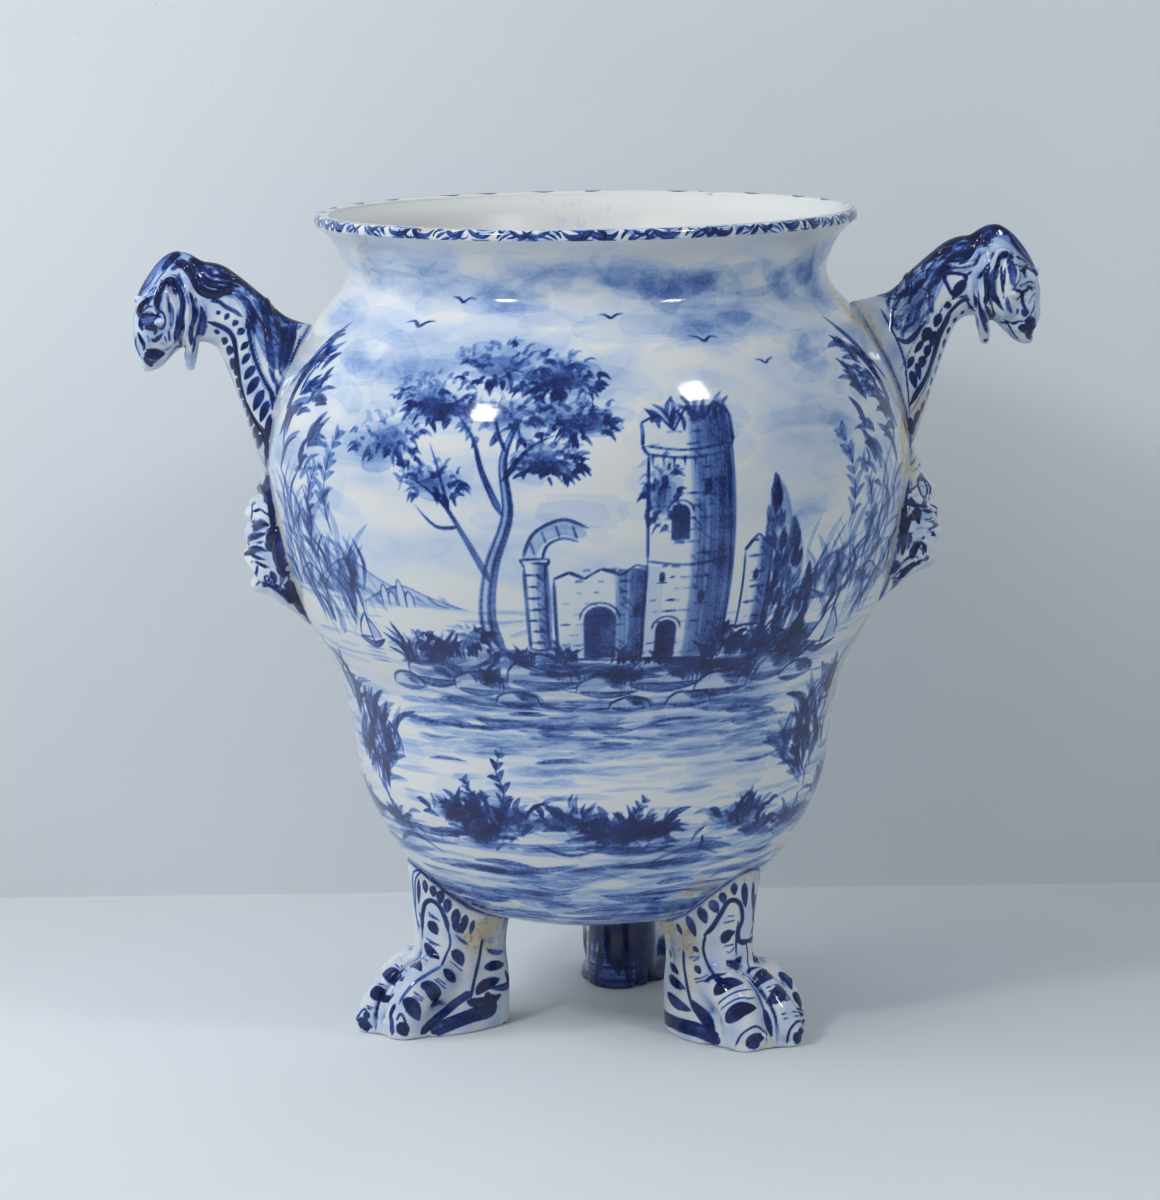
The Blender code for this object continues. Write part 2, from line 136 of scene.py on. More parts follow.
# Brush work. A sheet is a grid of cobalt strengths, from bare white glaze at 0 to near black at 1.

# How a brush mark's width changes along its run, from 0 at the start to 1 at the end
FORMS = {
    "leaf": lambda run: np.sin(np.pi * np.clip(run, 0.0, 1.0) ** 0.8) ** 0.7,
    "drop": lambda run: np.minimum(1.0, run / 0.12 + 0.25) * np.clip(1.0 - run, 0.0, 1.0) ** 0.65,
    "line": lambda run: np.minimum(np.minimum(1.0, 0.35 + run / 0.10), 0.25 + (1.0 - run) / 0.15),
    "flat": lambda run: np.minimum(np.minimum(1.0, 0.6 + run / 0.05), 0.6 + (1.0 - run) / 0.05),
}


def mark_table(table):
    """Marks as (form, width, amount, path) from lines of text. An indented line carries the one before on.

    Widths and points are in millimetres. Amounts are in hundredths: of a full load of colour, or of a
    millimetre for a relief.
    """
    rows = []
    for line in table.strip().replace("\n  ", " ").splitlines():
        form, width, amount, path = line.split(maxsplit=3)
        rows.append((form, float(width), float(amount) / 100, path_of(path)))
    return rows


def path_of(words):
    """A path from text such as "0,0 2.5,14"."""
    return [tuple(map(float, word.split(","))) for word in words.split()]


def number_rows(table):
    """Rows of numbers from text, with commas between rows."""
    return [tuple(map(float, row.split())) for row in table.split(",")]


class TurnedSheet:
    """A sheet wrapped on a turned outline. A place is a bearing in degrees and a mark on the outline."""

    def __init__(self, outline, marks, first, last, pitch):
        self.pitch = pitch
        self.outline = outline
        self.marks = marks
        self.climbs = run_of(outline)
        columns = int(round(math.radians(last - first) * outline[:, 0].max() / pitch)) + 1
        self.columns = np.radians(np.linspace(first, last, columns))
        self.rows = np.linspace(0.0, self.climbs[-1], int(round(self.climbs[-1] / pitch)) + 1)
        self.middle = (first + last) / 2
        self.cobalt = np.zeros((len(self.rows), columns), np.float32)

    def patch(self, where, low, high):
        """The cells near a place: their slices, and their millimetres across and up from it."""
        turned = self.middle + (where[0] - self.middle + 180) % 360 - 180
        bearing = math.radians(turned)
        climb = float(np.interp(where[1], self.marks, self.climbs))
        radius = float(np.interp(climb, self.climbs, self.outline[:, 0]))
        columns = np.searchsorted(self.columns, [bearing + low[0] / radius, bearing + high[0] / radius])
        rows = np.searchsorted(self.rows, [climb + low[1], climb + high[1]])
        spot = (slice(*rows), slice(*columns))
        across, up = np.meshgrid((self.columns[spot[1]] - bearing) * radius, self.rows[spot[0]] - climb)
        return spot, across, up

    def stroke(self, where, path, width, load, rng, form="leaf", streaks=0.3):
        """One pull of a loaded brush along a path in millimetres from a place."""
        phases = rng.uniform(0, math.tau, 4)
        points = smooth(path, 6) if len(path) > 2 else np.asarray(path, float)
        half = width / 2
        reach = half + 2 * self.pitch
        spot, across, up = self.patch(where, points.min(0) - reach, points.max(0) + reach)
        if across.size == 0:
            return
        gap, run, side = nearest(points, across, up)
        room = half * FORMS[form](run)
        cover = np.clip((room - gap) / self.pitch + 0.5, 0.0, 1.0)
        lane = side * gap / half
        hair = (np.sin(5 * lane + phases[0]) + np.sin(11 * lane + phases[1] + 3 * run)
                + np.sin(23 * lane + phases[2] + 5 * run)) / 3
        mood = load * (1 - streaks * (0.5 + 0.5 * hair)) * (1 + 0.15 * np.sin(4 * run + phases[3]))
        edge = 0.25 * np.exp(-(np.clip(room - gap, 0, None) / 0.9) ** 2)
        self.cobalt[spot] = laid_over(self.cobalt[spot], cover * mood * (1 + edge))

    def wash(self, where, size, load, rng, crisp=0.12, ragged=0.22):
        """A puddle of thin colour with a ragged rim that dries a little darker."""
        waves = rng.uniform(-1, 1, (5, 2)) * 3.2
        phases = rng.uniform(0, math.tau, 5)
        lean = rng.uniform(-0.4, 0.4)
        reach = np.array(size) * 1.35
        spot, across, up = self.patch(where, -reach, reach)
        if across.size == 0:
            return
        x = (across * math.cos(lean) + up * math.sin(lean)) / size[0]
        y = (up * math.cos(lean) - across * math.sin(lean)) / size[1]
        wobble = sum(np.sin(x * a + y * b + phase) for (a, b), phase in zip(waves, phases)) / 5
        ring = np.hypot(x, y) + ragged * wobble * 1.6
        cover = blend(1.0, 1.0 - crisp, ring)
        tone = 1 + 0.35 * np.exp(-((1 - crisp - ring) / 0.05) ** 2) + 0.25 * wobble
        self.cobalt[spot] = laid_over(self.cobalt[spot], load * cover * tone)

    def fill(self, where, outline, load, keep=1.0):
        """Fill an outline, after wiping what lies under it down to a share."""
        points = np.asarray(list(outline) + [outline[0]], float)
        spot, across, up = self.patch(where, points.min(0) - 2, points.max(0) + 2)
        if across.size == 0:
            return
        gap, _, _ = nearest(points, across, up)
        inside = np.zeros(across.shape, bool)
        for (ax, ay), (bx, by) in zip(points, points[1:]):
            if ay != by:
                inside ^= ((ay > up) != (by > up)) & (across < (bx - ax) * (up - ay) / (by - ay) + ax)
        cover = np.clip(np.where(inside, gap, -gap) / self.pitch + 0.5, 0.0, 1.0)
        self.cobalt[spot] *= 1 - cover * (1 - keep)
        self.cobalt[spot] = laid_over(self.cobalt[spot], cover * load)

    def grid(self):
        """The sheet's cells as places in space, in metres: rows by columns by 3."""
        radius = np.interp(self.rows, self.climbs, self.outline[:, 0]) * MM
        height = np.interp(self.rows, self.climbs, self.outline[:, 1]) * MM
        bearing = self.columns[None, :]
        return np.stack([radius[:, None] * np.sin(bearing), -radius[:, None] * np.cos(bearing),
                         height[:, None] + 0 * bearing], -1)


def scatter(canvas, rng, count, bearings, heights, reach, width, load, form="leaf", bow=1.2):
    """Level strokes over a band of the wall, drawn from ranges of place, half length, width and load."""
    for _ in range(count):
        place = (rng.uniform(*bearings), rng.uniform(*heights))
        half = rng.uniform(*reach)
        tilt = rng.normal(0, 0.05 * half)
        canvas.stroke(place, [(-half, -tilt), (0, rng.normal(0, bow)), (half, tilt)], rng.uniform(*width),
                      rng.uniform(*load), rng, form, 0.6)


def cloud(canvas, place, size, load, rng):
    """A cloud: overlapping puddles of thin colour, and a few broad pulls over its back."""
    for _ in range(5):
        spot = (place[0] + rng.normal(0, size * 0.14), place[1] + rng.normal(0, size * 0.16))
        canvas.wash(spot, (size * rng.uniform(0.5, 1.0), size * rng.uniform(0.24, 0.46)),
                    load * rng.uniform(0.3, 0.62), rng, crisp=rng.uniform(0.06, 0.4), ragged=0.66)
    for _ in range(3):
        turn = rng.uniform(-0.6, 0.6)
        radius = size * rng.uniform(0.6, 1.1)
        turns = [turn + step for step in (-1, -0.4, 0.2, 0.8)]
        arc = [(radius * math.sin(a), 0.5 * radius * math.cos(a) - 0.2 * size) for a in turns]
        canvas.stroke(place, arc, size * rng.uniform(0.2, 0.5), load * rng.uniform(0.15, 0.4), rng,
                      "leaf", 0.85)


# Banks of cloud: bearing, height, size and load
CLOUD_BANKS = number_rows("""
-57 470 24 0.16, -45 458 22 0.12, -15 468 26 0.2, -4 472 24 0.26, 8 470 26 0.34, 19 462 24 0.42,
28 466 22 0.34, 42 470 24 0.26, 56 462 26 0.36, 65 450 22 0.32, 47 420 24 0.3, 60 404 20 0.34,
-48 418 22 0.26, 33 442 20 0.24, 60 362 22 0.3, 50 380 20 0.26, -54 340 26 0.24, 40 330 22 0.22
""")


def sky(canvas):
    """Sky: thin colour from a broad brush all round, gathered in clouds that darken towards the neck."""
    rng = np.random.default_rng(11)
    for _ in range(170):
        canvas.wash((rng.uniform(-180, 180), rng.uniform(292, 494)),
                    (rng.uniform(24, 62), rng.uniform(9, 22)), rng.uniform(0.05, 0.12), rng,
                    crisp=rng.uniform(0.3, 0.9), ragged=0.36)
    scatter(canvas, rng, 150, (-180, 180), (330, 488), (14, 38), (8, 20), (0.05, 0.15), "flat", 6.0)
    for _ in range(44):
        height = rng.uniform(360, 488)
        cloud(canvas, (rng.uniform(-180, 180), height), rng.uniform(18, 40), rng.uniform(0.08, 0.2), rng)
    for bearing, height, size, load in CLOUD_BANKS:
        cloud(canvas, (bearing, height), size, 0.7 * load, rng)
    scatter(canvas, rng, 60, (-180, 180), (380, 486), (10, 24), (3, 7), (0.08, 0.2), "leaf", 4.0)


def bird(canvas, where, size, rng):
    """A far bird: two flicks of the brush."""
    for side in (-1, 1):
        tip = (side * size, size * rng.uniform(0.25, 0.5))
        canvas.stroke(where, [(0, 0), (side * size * 0.45, size * 0.36), tip], size * 0.24, 0.9, rng,
                      "drop", 0.1)


def blade(canvas, where, foot, lean, reach, width, load, rng, curl=0.25):
    """A grass blade or a reed's leaf: one stroke that bends as it thins."""
    tip = (foot[0] + reach * math.sin(lean), foot[1] + reach * math.cos(lean))
    bow = curl * reach
    middle = ((foot[0] + tip[0]) / 2 - bow * math.cos(lean) * math.copysign(1, lean) * 0.5,
              (foot[1] + tip[1]) / 2 + bow * abs(math.sin(lean)) * 0.5)
    canvas.stroke(where, [foot, middle, tip], width, load, rng, "leaf", 0.35)


def tuft(canvas, where, spread, reach, count, load, rng, width=2.4, lean=0.0, fan=1.0):
    """A fan of blades from one root."""
    for index in range(count):
        turn = lean + fan * (index / max(count - 1, 1) - 0.5) + rng.normal(0, 0.08)
        foot = (rng.normal(0, spread * 0.4), rng.normal(0, spread * 0.12))
        blade(canvas, where, foot, turn, reach * rng.uniform(0.6, 1.1), width * rng.uniform(0.6, 1.2),
              load * rng.uniform(0.6, 1.15), rng)


def spray(canvas, where, path, leaf, width, load, rng, pairs=7):
    """A stem with leaves to both sides."""
    canvas.stroke(where, path, width * 0.4, load, rng, "drop", 0.1)
    for index in range(pairs):
        share = 0.18 + 0.8 * index / pairs
        x, y = along(path, share)
        ahead = along(path, min(share + 0.08, 1.0))
        direction = math.atan2(ahead[0] - x, ahead[1] - y)
        for side in (-1, 1):
            turn = direction + side * rng.uniform(0.5, 0.95)
            reach = leaf * rng.uniform(0.7, 1.1) * (1 - 0.45 * share)
            blade(canvas, where, (x, y), turn, reach, width * rng.uniform(0.8, 1.2),
                  load * rng.uniform(0.75, 1.1), rng)


def clump(canvas, where, size, rng, load=0.9, leaves=30):
    """A leafy clump at the water's edge: pale dabs under dark pointed leaves."""
    for _ in range(7):
        place = (where[0] + rng.normal(0, size * 0.10), where[1] + rng.normal(0, size * 0.14))
        canvas.wash(place, (size * rng.uniform(0.35, 0.65), size * rng.uniform(0.14, 0.26)), 0.3, rng)
    for _ in range(leaves):
        foot = (rng.normal(0, size * 0.42), rng.normal(0, size * 0.13))
        turn = foot[0] / size * 2.0 + rng.normal(0, 0.5)
        blade(canvas, where, foot, turn, size * rng.uniform(0.25, 0.55), size * rng.uniform(0.07, 0.14),
              load * rng.uniform(0.55, 1.05), rng)


def foliage(canvas, where, size, rng, load=0.5, dabs=46):
    """A mass of leaves: thin colour, then comma strokes, darker below and to one side."""
    for _ in range(8):
        place = (where[0] + rng.normal(0, size[0] * 0.1), where[1] + rng.normal(0, size[1] * 0.3))
        canvas.wash(place, (size[0] * rng.uniform(0.4, 0.7), size[1] * rng.uniform(0.35, 0.6)),
                    load * rng.uniform(0.22, 0.4), rng, ragged=0.34)
    for _ in range(dabs):
        turn = rng.uniform(0, math.tau)
        ring = math.sqrt(rng.uniform(0.02, 1.0))
        x, y = size[0] * ring * math.cos(turn), size[1] * ring * math.sin(turn)
        shade = 0.5 + 0.3 * (x / size[0]) - 0.5 * (y / size[1])
        reach = rng.uniform(4.5, 10)
        heading = turn + rng.normal(0, 0.7)
        tip = (x + reach * math.cos(heading), y + reach * math.sin(heading) * 0.7 - 1.0)
        bend = ((x + tip[0]) / 2, (y + tip[1]) / 2 + rng.uniform(0.5, 2.4))
        canvas.stroke(where, [(x, y), bend, tip], rng.uniform(2.0, 4.6),
                      np.clip(load * (0.5 + 1.1 * shade) * rng.uniform(0.7, 1.3), 0.12, 0.97), rng,
                      "drop", 0.25)


# A tree's boughs, as marks from its root
BOUGHS = mark_table("""
drop 4.4 92 -2,52 -14,78 -26,98 -44,112
drop 2.6 92 -18,84 -30,84 -42,96
drop 4.2 92 6,92 -4,116 -10,136 -22,152
drop 3.4 92 7,112 20,130 34,138
drop 2.4 92 -22,94 -28,116 -34,132
drop 2.4 92 8,128 2,146 4,160
""")


def big_tree(canvas, root, seed):
    """An old tree with a leaning trunk and a parted crown."""
    rng = np.random.default_rng(seed)
    crown = [((-20, 128), (26, 16)), ((-12, 152), (28, 16)), ((0, 172), (30, 14)), ((11, 166), (27, 14)),
             ((2, 142), (26, 14)), ((15, 144), (22, 13)), ((-11, 106), (20, 12)), ((10, 120), (19, 11))]
    masses = [((root[0] + turn, root[1] + rise), size) for (turn, rise), size in crown]
    for place, size in masses:
        foliage(canvas, place, size, rng, 0.62, 54)
    trunk = path_of("0,0 -6,26 -1,60 9,92 7,124 16,150")
    for shift, width, load in ((0, 12, 0.42), (3.4, 5.0, 0.85), (-4.2, 2.2, 0.9), (0.6, 1.8, 0.7),
                               (1.9, 1.4, 0.8)):
        canvas.stroke(root, [(x + shift * (1 - y / 210), y) for x, y in trunk], width, load, rng, "drop",
                      0.55)
    for form, width, load, path in BOUGHS:
        canvas.stroke(root, path, width, load, rng, form, 0.3)
    for side, reach in ((-1, 26), (1, 20), (-1, 14), (1, 30)):
        canvas.stroke(root, [(side * 2, 6), (side * reach * 0.5, -3), (side * reach, -8)], 4.2, 0.88, rng,
                      "drop")
    for place, size in masses[1::2]:
        foliage(canvas, (place[0] + 2, place[1] - 5), (size[0] * 0.75, size[1] * 0.55), rng, 0.95, 22)


def slim_tree(canvas, root, tall, wide, rng):
    """A narrow tree of upward flicks."""
    canvas.stroke(root, [(0, 0), (0, tall * 0.3)], 3.0, 0.9, rng, "flat")
    canvas.wash((root[0] + 0.5, root[1] + tall * 0.5), (wide * 0.8, tall * 0.5), 0.35, rng)
    for _ in range(56):
        share = rng.uniform(0.08, 1.0)
        room = wide * math.sin(math.pi * min(1.0, share * 0.85 + 0.12)) ** 0.7
        x = rng.uniform(-1, 1) * room * 0.6
        y = tall * share * 0.92
        shade = 0.4 + 0.6 * (x / wide + 0.5)
        canvas.stroke(root, [(x * 0.7, y), (x, y + 6), (x * 1.1, y + 11)], rng.uniform(2.2, 4.0),
                      np.clip(shade * rng.uniform(0.6, 1.3), 0.15, 0.95), rng, "leaf", 0.3)


def wall(canvas, where, outline, shade_from, rng, courses=9):
    """A lit stone wall left white, with its outline, a shaded side and courses of stone."""
    points = np.asarray(outline, float)
    low, high = points.min(0), points.max(0)
    canvas.fill(where, outline, 0.05, keep=0.16)
    closed = list(outline) + [outline[0]]
    for start, end in zip(closed, closed[1:]):
        x, y = (start[0] + end[0]) / 2, (start[1] + end[1]) / 2
        middle = (x + rng.normal(0, 0.4), y + rng.normal(0, 0.4))
        canvas.stroke(where, [start, middle, end], rng.uniform(1.2, 2.2), rng.uniform(0.8, 0.95), rng,
                      "line", 0.2)
    for index in range(courses):
        y = low[1] + (index + 0.6) / courses * (high[1] - low[1])
        for _ in range(5):
            x = rng.uniform(low[0] + 2, high[0] - 6)
            reach = rng.uniform(2, 6)
            canvas.stroke(where, [(x, y), (x + reach, y + rng.normal(0, 0.4))], rng.uniform(0.9, 1.7),
                          rng.uniform(0.3, 0.75), rng, "line")
    for index in range(int((high[0] - low[0]) * 0.5)):
        x = shade_from + (high[0] - shade_from) * (index + 0.5) / max(int((high[0] - low[0]) * 0.5), 1)
        if x > high[0] - 0.8:
            continue
        depth = (x - shade_from) / max(high[0] - shade_from, 1e-6)
        canvas.stroke(where, [(x, low[1] + 1), (x + rng.normal(0, 0.6), (low[1] + high[1]) / 2),
                              (x, high[1] - 3)], rng.uniform(2.4, 4.2), 0.2 + 0.42 * depth, rng, "flat",
                      0.5)
    for _ in range(int(high[1] - low[1]) // 4):
        x, y = rng.uniform(shade_from, high[0] - 6), rng.uniform(low[1] + 2, high[1] - 8)
        canvas.stroke(where, [(x, y + 5), (x + 5, y)], 1.2, rng.uniform(0.4, 0.8), rng, "drop")


def arch_opening(canvas, where, foot, wide, tall, load, rng):
    """A dark round-headed opening with its ring of stones."""
    half = wide / 2
    turns = np.linspace(math.pi, 0, 9)
    head = [(foot[0] + half * math.cos(a), foot[1] + tall - half + half * math.sin(a)) for a in turns]
    outline = [(foot[0] - half, foot[1])] + head + [(foot[0] + half, foot[1])]
    canvas.fill(where, outline, load, keep=0.4)
    outer = half + 2
    ring = [(foot[0] + outer * math.cos(a), foot[1] + tall - half + outer * math.sin(a)) for a in turns]
    canvas.stroke(where, ring, 1.3, 0.85, rng, "line")
    canvas.stroke(where, [(foot[0] - half * 0.3, foot[1]), (foot[0] - half * 0.4, foot[1] + tall * 0.8)],
                  half * 0.8, 0.5, rng, "flat")


def window(canvas, where, place, size, rng):
    """A small dark window and its sill."""
    canvas.stroke(where, [place, (place[0], place[1] + size)], size * 0.66, 0.95, rng, "flat", 0.1)
    canvas.stroke(where, [(place[0] - size * 0.6, place[1] - 1.4),
                          (place[0] + size * 0.6, place[1] - 1.4)], 1.0, 0.8, rng, "line")


def ruins(canvas):
    """A round tower with a broken top, its gate wall, and a lone standing arch."""
    rng = np.random.default_rng(37)
    far = (30, 270)
    wall(canvas, far, path_of("-8,0 -8,48 0,57 9,48 9,0"), 1, rng, 6)
    window(canvas, far, (0, 30), 5, rng)
    gate = (2.5, 256)
    wall(canvas, gate, path_of("-27,-2 -27,50 -19,54 -11,50 -2,56 8,52 16,58 29,55 29,-4"), 6, rng, 9)
    arch_opening(canvas, gate, (-3, -2), 18, 35, 0.88, rng)
    window(canvas, gate, (17, 27), 5.5, rng)
    tower = (17, 254)
    broken_top = path_of("-24,129 -24,142 -14,146 -7,137 1,151 10,143 17,153 25,145 25,129")
    shaft = [(-23, 0), (-22, 62), (-21, 124), *broken_top, (22, 124), (23, 60), (25, -2)]
    wall(canvas, tower, shaft, 1, rng, 22)
    for y in (124, 128.5, 62):
        canvas.stroke(tower, [(-22, y), (0, y - 3), (23, y)], 1.5, 0.85, rng, "line")
    for index in range(8):
        x = -19 + index * 5.6
        canvas.stroke(tower, [(x, 124 - 2 * math.cos(x / 23)), (x, 118 - 2 * math.cos(x / 23))], 1.9, 0.8,
                      rng, "drop")
    arch_opening(canvas, tower, (-5, 74), 10, 21, 0.92, rng)
    arch_opening(canvas, tower, (-10, 0), 12, 25, 0.92, rng)
    for place, size in (((10, 101), 6), ((-13, 106), 5), ((8, 36), 6), ((-14, 50), 4.5)):
        window(canvas, tower, place, size, rng)
    for _ in range(20):
        foot = (rng.uniform(-22, 20), rng.uniform(136, 148))
        blade(canvas, tower, foot, rng.uniform(-0.9, 0.9), rng.uniform(7, 16), 2.6,
              rng.uniform(0.6, 0.95), rng)
    foliage(canvas, (12, 352), (10, 22), rng, 0.85, 34)
    lone = (-9.5, 260)
    wall(canvas, lone, path_of("-6,0 -6,53 -8,57 7,58 5,53 5,0"), 0, rng, 8)
    canvas.stroke(lone, path_of("-4,58 2,70 15,76 25,73"), 8.0, 0.3, rng, "flat", 0.4)
    canvas.stroke(lone, path_of("-6,59 0,73 15,81 28,76"), 1.8, 0.92, rng, "line")
    canvas.stroke(lone, path_of("4,58 7,66 15,70 23,68"), 1.5, 0.9, rng, "line")
    for share in (0.2, 0.4, 0.6, 0.8):
        x, y = along(path_of("-5,60 1,72 15,78 27,74"), share)
        canvas.stroke(lone, [(x, y), (x + 2, y - 7)], 1.1, 0.8, rng, "line")


def boulder(canvas, where, size, rng, load=0.7):
    """A rounded rock: a pale back, and strokes that follow its turn into shade."""
    turns = np.linspace(math.pi * 1.05, -0.05 * math.pi, 7)
    top = [(size[0] * math.cos(a), size[1] * math.sin(a) * rng.uniform(0.85, 1.12)) for a in turns]
    canvas.fill(where, top + [(size[0], -size[1] * 0.3), (-size[0], -size[1] * 0.3)], 0.16, keep=0.5)
    canvas.stroke(where, top, 2.0, 0.9, rng, "leaf", 0.3)
    for index in range(7):
        share = 0.22 + index * 0.12
        inner = [(size[0] * share * math.cos(a) + size[0] * 0.24,
                  size[1] * share * math.sin(a)) for a in turns[2:]]
        canvas.stroke(where, inner, size[1] * rng.uniform(0.14, 0.3), load * rng.uniform(0.6, 1.3), rng,
                      "leaf", 0.5)
    canvas.stroke(where, [(-size[0] * 0.9, -size[1] * 0.1), (0, -size[1] * 0.28),
                          (size[0], -size[1] * 0.1)], size[1] * 0.4, load * 1.25, rng, "leaf", 0.5)


# Boulders: bearing, height, and half the width and height
BOULDERS = number_rows("""
-34 238 18 17, -24 233 16 13, -10 240 21 18, 3 233 18 13, 15 238 24 19, 28 231 18 14, 39 238 20 16,
48 232 14 10, -42 231 12 9, -16 225 13 8, 21 223 14 8, 8 222 12 7
""")
# Tufts of grass: bearing, height, reach and lean
TURF = number_rows("""
-38 248 26 -0.3, -28 252 20 0.1, -4 253 16 0.1, 9 252 13 0, 27 252 18 0.15, 35 252 22 0.3,
45 244 25 0.5, -13 249 15 -0.2, -21 236 15 0.2, 8 238 14 -0.2, 33 236 15 0.3
""")


def island(canvas):
    """The island's ground: banks of turf and stone that step down to the water."""
    rng = np.random.default_rng(41)
    scatter(canvas, rng, 46, (-38, 46), (244, 262), (14, 36), (4, 9), (0.2, 0.5), "leaf", 3.0)
    scatter(canvas, rng, 30, (-36, 44), (234, 248), (12, 30), (3, 7), (0.4, 0.75), "leaf", 2.0)
    for bearing, height, wide, tall in BOULDERS:
        boulder(canvas, (bearing, height), (wide, tall), rng, rng.uniform(0.6, 0.85))
    for bearing, height, reach, lean in TURF:
        tuft(canvas, (bearing, height), 9, reach, 15, 0.85, rng, 2.8, lean, 1.4)
    for bearing, height in ((-1, 266), (25, 266), (33, 262), (-23, 264), (-33, 258), (42, 256), (12, 260)):
        foliage(canvas, (bearing, height), (12, 9), rng, 0.85, 26)


def water(canvas):
    """The water: level strokes that darken under the island and thin out towards the near shore."""
    rng = np.random.default_rng(53)
    scatter(canvas, rng, 60, (-180, 180), (172, 240), (22, 48), (8, 16), (0.06, 0.16), "flat", 2.0)
    scatter(canvas, rng, 300, (-180, 180), (176, 246), (12, 36), (2.0, 6.5), (0.08, 0.3))
    scatter(canvas, rng, 100, (-44, 50), (188, 228), (10, 30), (2.2, 6), (0.16, 0.42))
    scatter(canvas, rng, 28, (-34, 44), (206, 226), (10, 24), (2.5, 6), (0.5, 0.8))
    scatter(canvas, rng, 60, (-180, 180), (180, 236), (8, 22), (1.6, 3.2), (0.5, 0.8))


def sail_boat(canvas, where, size, rng):
    """A small boat under sail."""
    canvas.fill(where, [(-size * 0.05, 3), (-size * 0.02, size), (-size * 0.5, size * 0.2)], 0.03, keep=0.1)
    canvas.fill(where, [(size * 0.06, 3), (size * 0.06, size * 0.86), (size * 0.42, size * 0.2)], 0.35,
                keep=0.1)
    for path, width, load in (([(-size * 0.02, size), (-size * 0.32, size * 0.62),
                                (-size * 0.5, size * 0.2)], 1.2, 0.9),
                              ([(-size * 0.5, size * 0.2), (0, 3.4)], 1.1, 0.85),
                              ([(size * 0.05, size * 0.88), (size * 0.32, size * 0.5),
                                (size * 0.42, size * 0.2)], 1.2, 0.9),
                              ([(size * 0.02, 0), (size * 0.02, size * 1.12)], 1.4, 0.92)):
        canvas.stroke(where, path, width, load, rng, "line")
    canvas.stroke(where, [(-size * 0.55, 3.2), (0, -1.4), (size * 0.55, 3.6)], 5, 0.92, rng, "leaf", 0.2)
    for index in range(4):
        canvas.stroke(where, [(-size * 0.5, -4 - 3 * index), (size * 0.4, -4.5 - 3 * index)], 1.8, 0.45,
                      rng, "leaf", 0.5)


# Far hills: bearing, height, reach, rise and load
HILLS = number_rows("""
-46 286 48 22 0.2, -34 282 38 13 0.26, -60 284 30 16 0.28, 50 288 38 20 0.22, 62 284 30 13 0.28,
42 280 26 10 0.3, -80 284 40 18 0.24, 84 286 40 16 0.24
""")
# Far gables: bearing and height
GABLES = number_rows("""
-40 13, -38.4 9, -36.2 17, -34.4 10, 53 14, 54.8 10, 56.4 11
""")


def far_shore(canvas):
    """Hills and a village, thin and pale, where the water ends."""
    rng = np.random.default_rng(61)
    for turn in (0, 180):
        for bearing, height, reach, rise, load in HILLS:
            ridge = [(-reach, 0), (-reach * 0.5, rise * 0.7), (-reach * 0.1, rise),
                     (reach * 0.35, rise * 0.55), (reach, 0)]
            spot = (bearing + turn, height)
            canvas.fill(spot, [tuple(p) for p in smooth(ridge, 5)], load)
            canvas.stroke(spot, ridge, 1.4, load * 2.2, rng, "leaf", 0.3)
            for _ in range(7):
                x = rng.uniform(-reach * 0.7, reach * 0.6)
                canvas.stroke(spot, [(x, rise * 0.6), (x + 5, rise * 0.25), (x + 14, 1)], 2.4, load * 1.4,
                              rng, "drop", 0.4)
        for bearing, tall in GABLES:
            outline = [(-2.6, 0), (-2.6, tall * 0.6), (0, tall), (2.6, tall * 0.6), (2.6, 0)]
            canvas.fill((bearing + turn, 282), outline, 0.1, keep=0.2)
            canvas.stroke((bearing + turn, 282), outline, 1.1, 0.7, rng, "line")
    scatter(canvas, rng, 150, (-180, 180), (246, 284), (10, 26), (1.4, 4), (0.12, 0.4))


# Reed leaves: bearing, height, lean, reach, width and load
REEDS = number_rows("""
-71 388 0.75 66 7.5 0.72, -70 380 0.45 78 7 0.78, -72 372 1 50 6.5 0.7, -69 366 0.25 64 6 0.76,
-70 352 0.8 38 5.5 0.7, -74 400 1.1 54 6 0.66
""")


def blades(canvas, where, count, spread, side, lean, reach, width, load, rng, curl=0.25):
    """Blades from about a place, drawn from ranges of lean to one side, reach, width and load."""
    for _ in range(count):
        foot = (rng.normal(0, spread[0]), rng.normal(0, spread[1]))
        blade(canvas, where, foot, side * rng.uniform(*lean), rng.uniform(*reach), rng.uniform(*width),
              rng.uniform(*load), rng, curl)


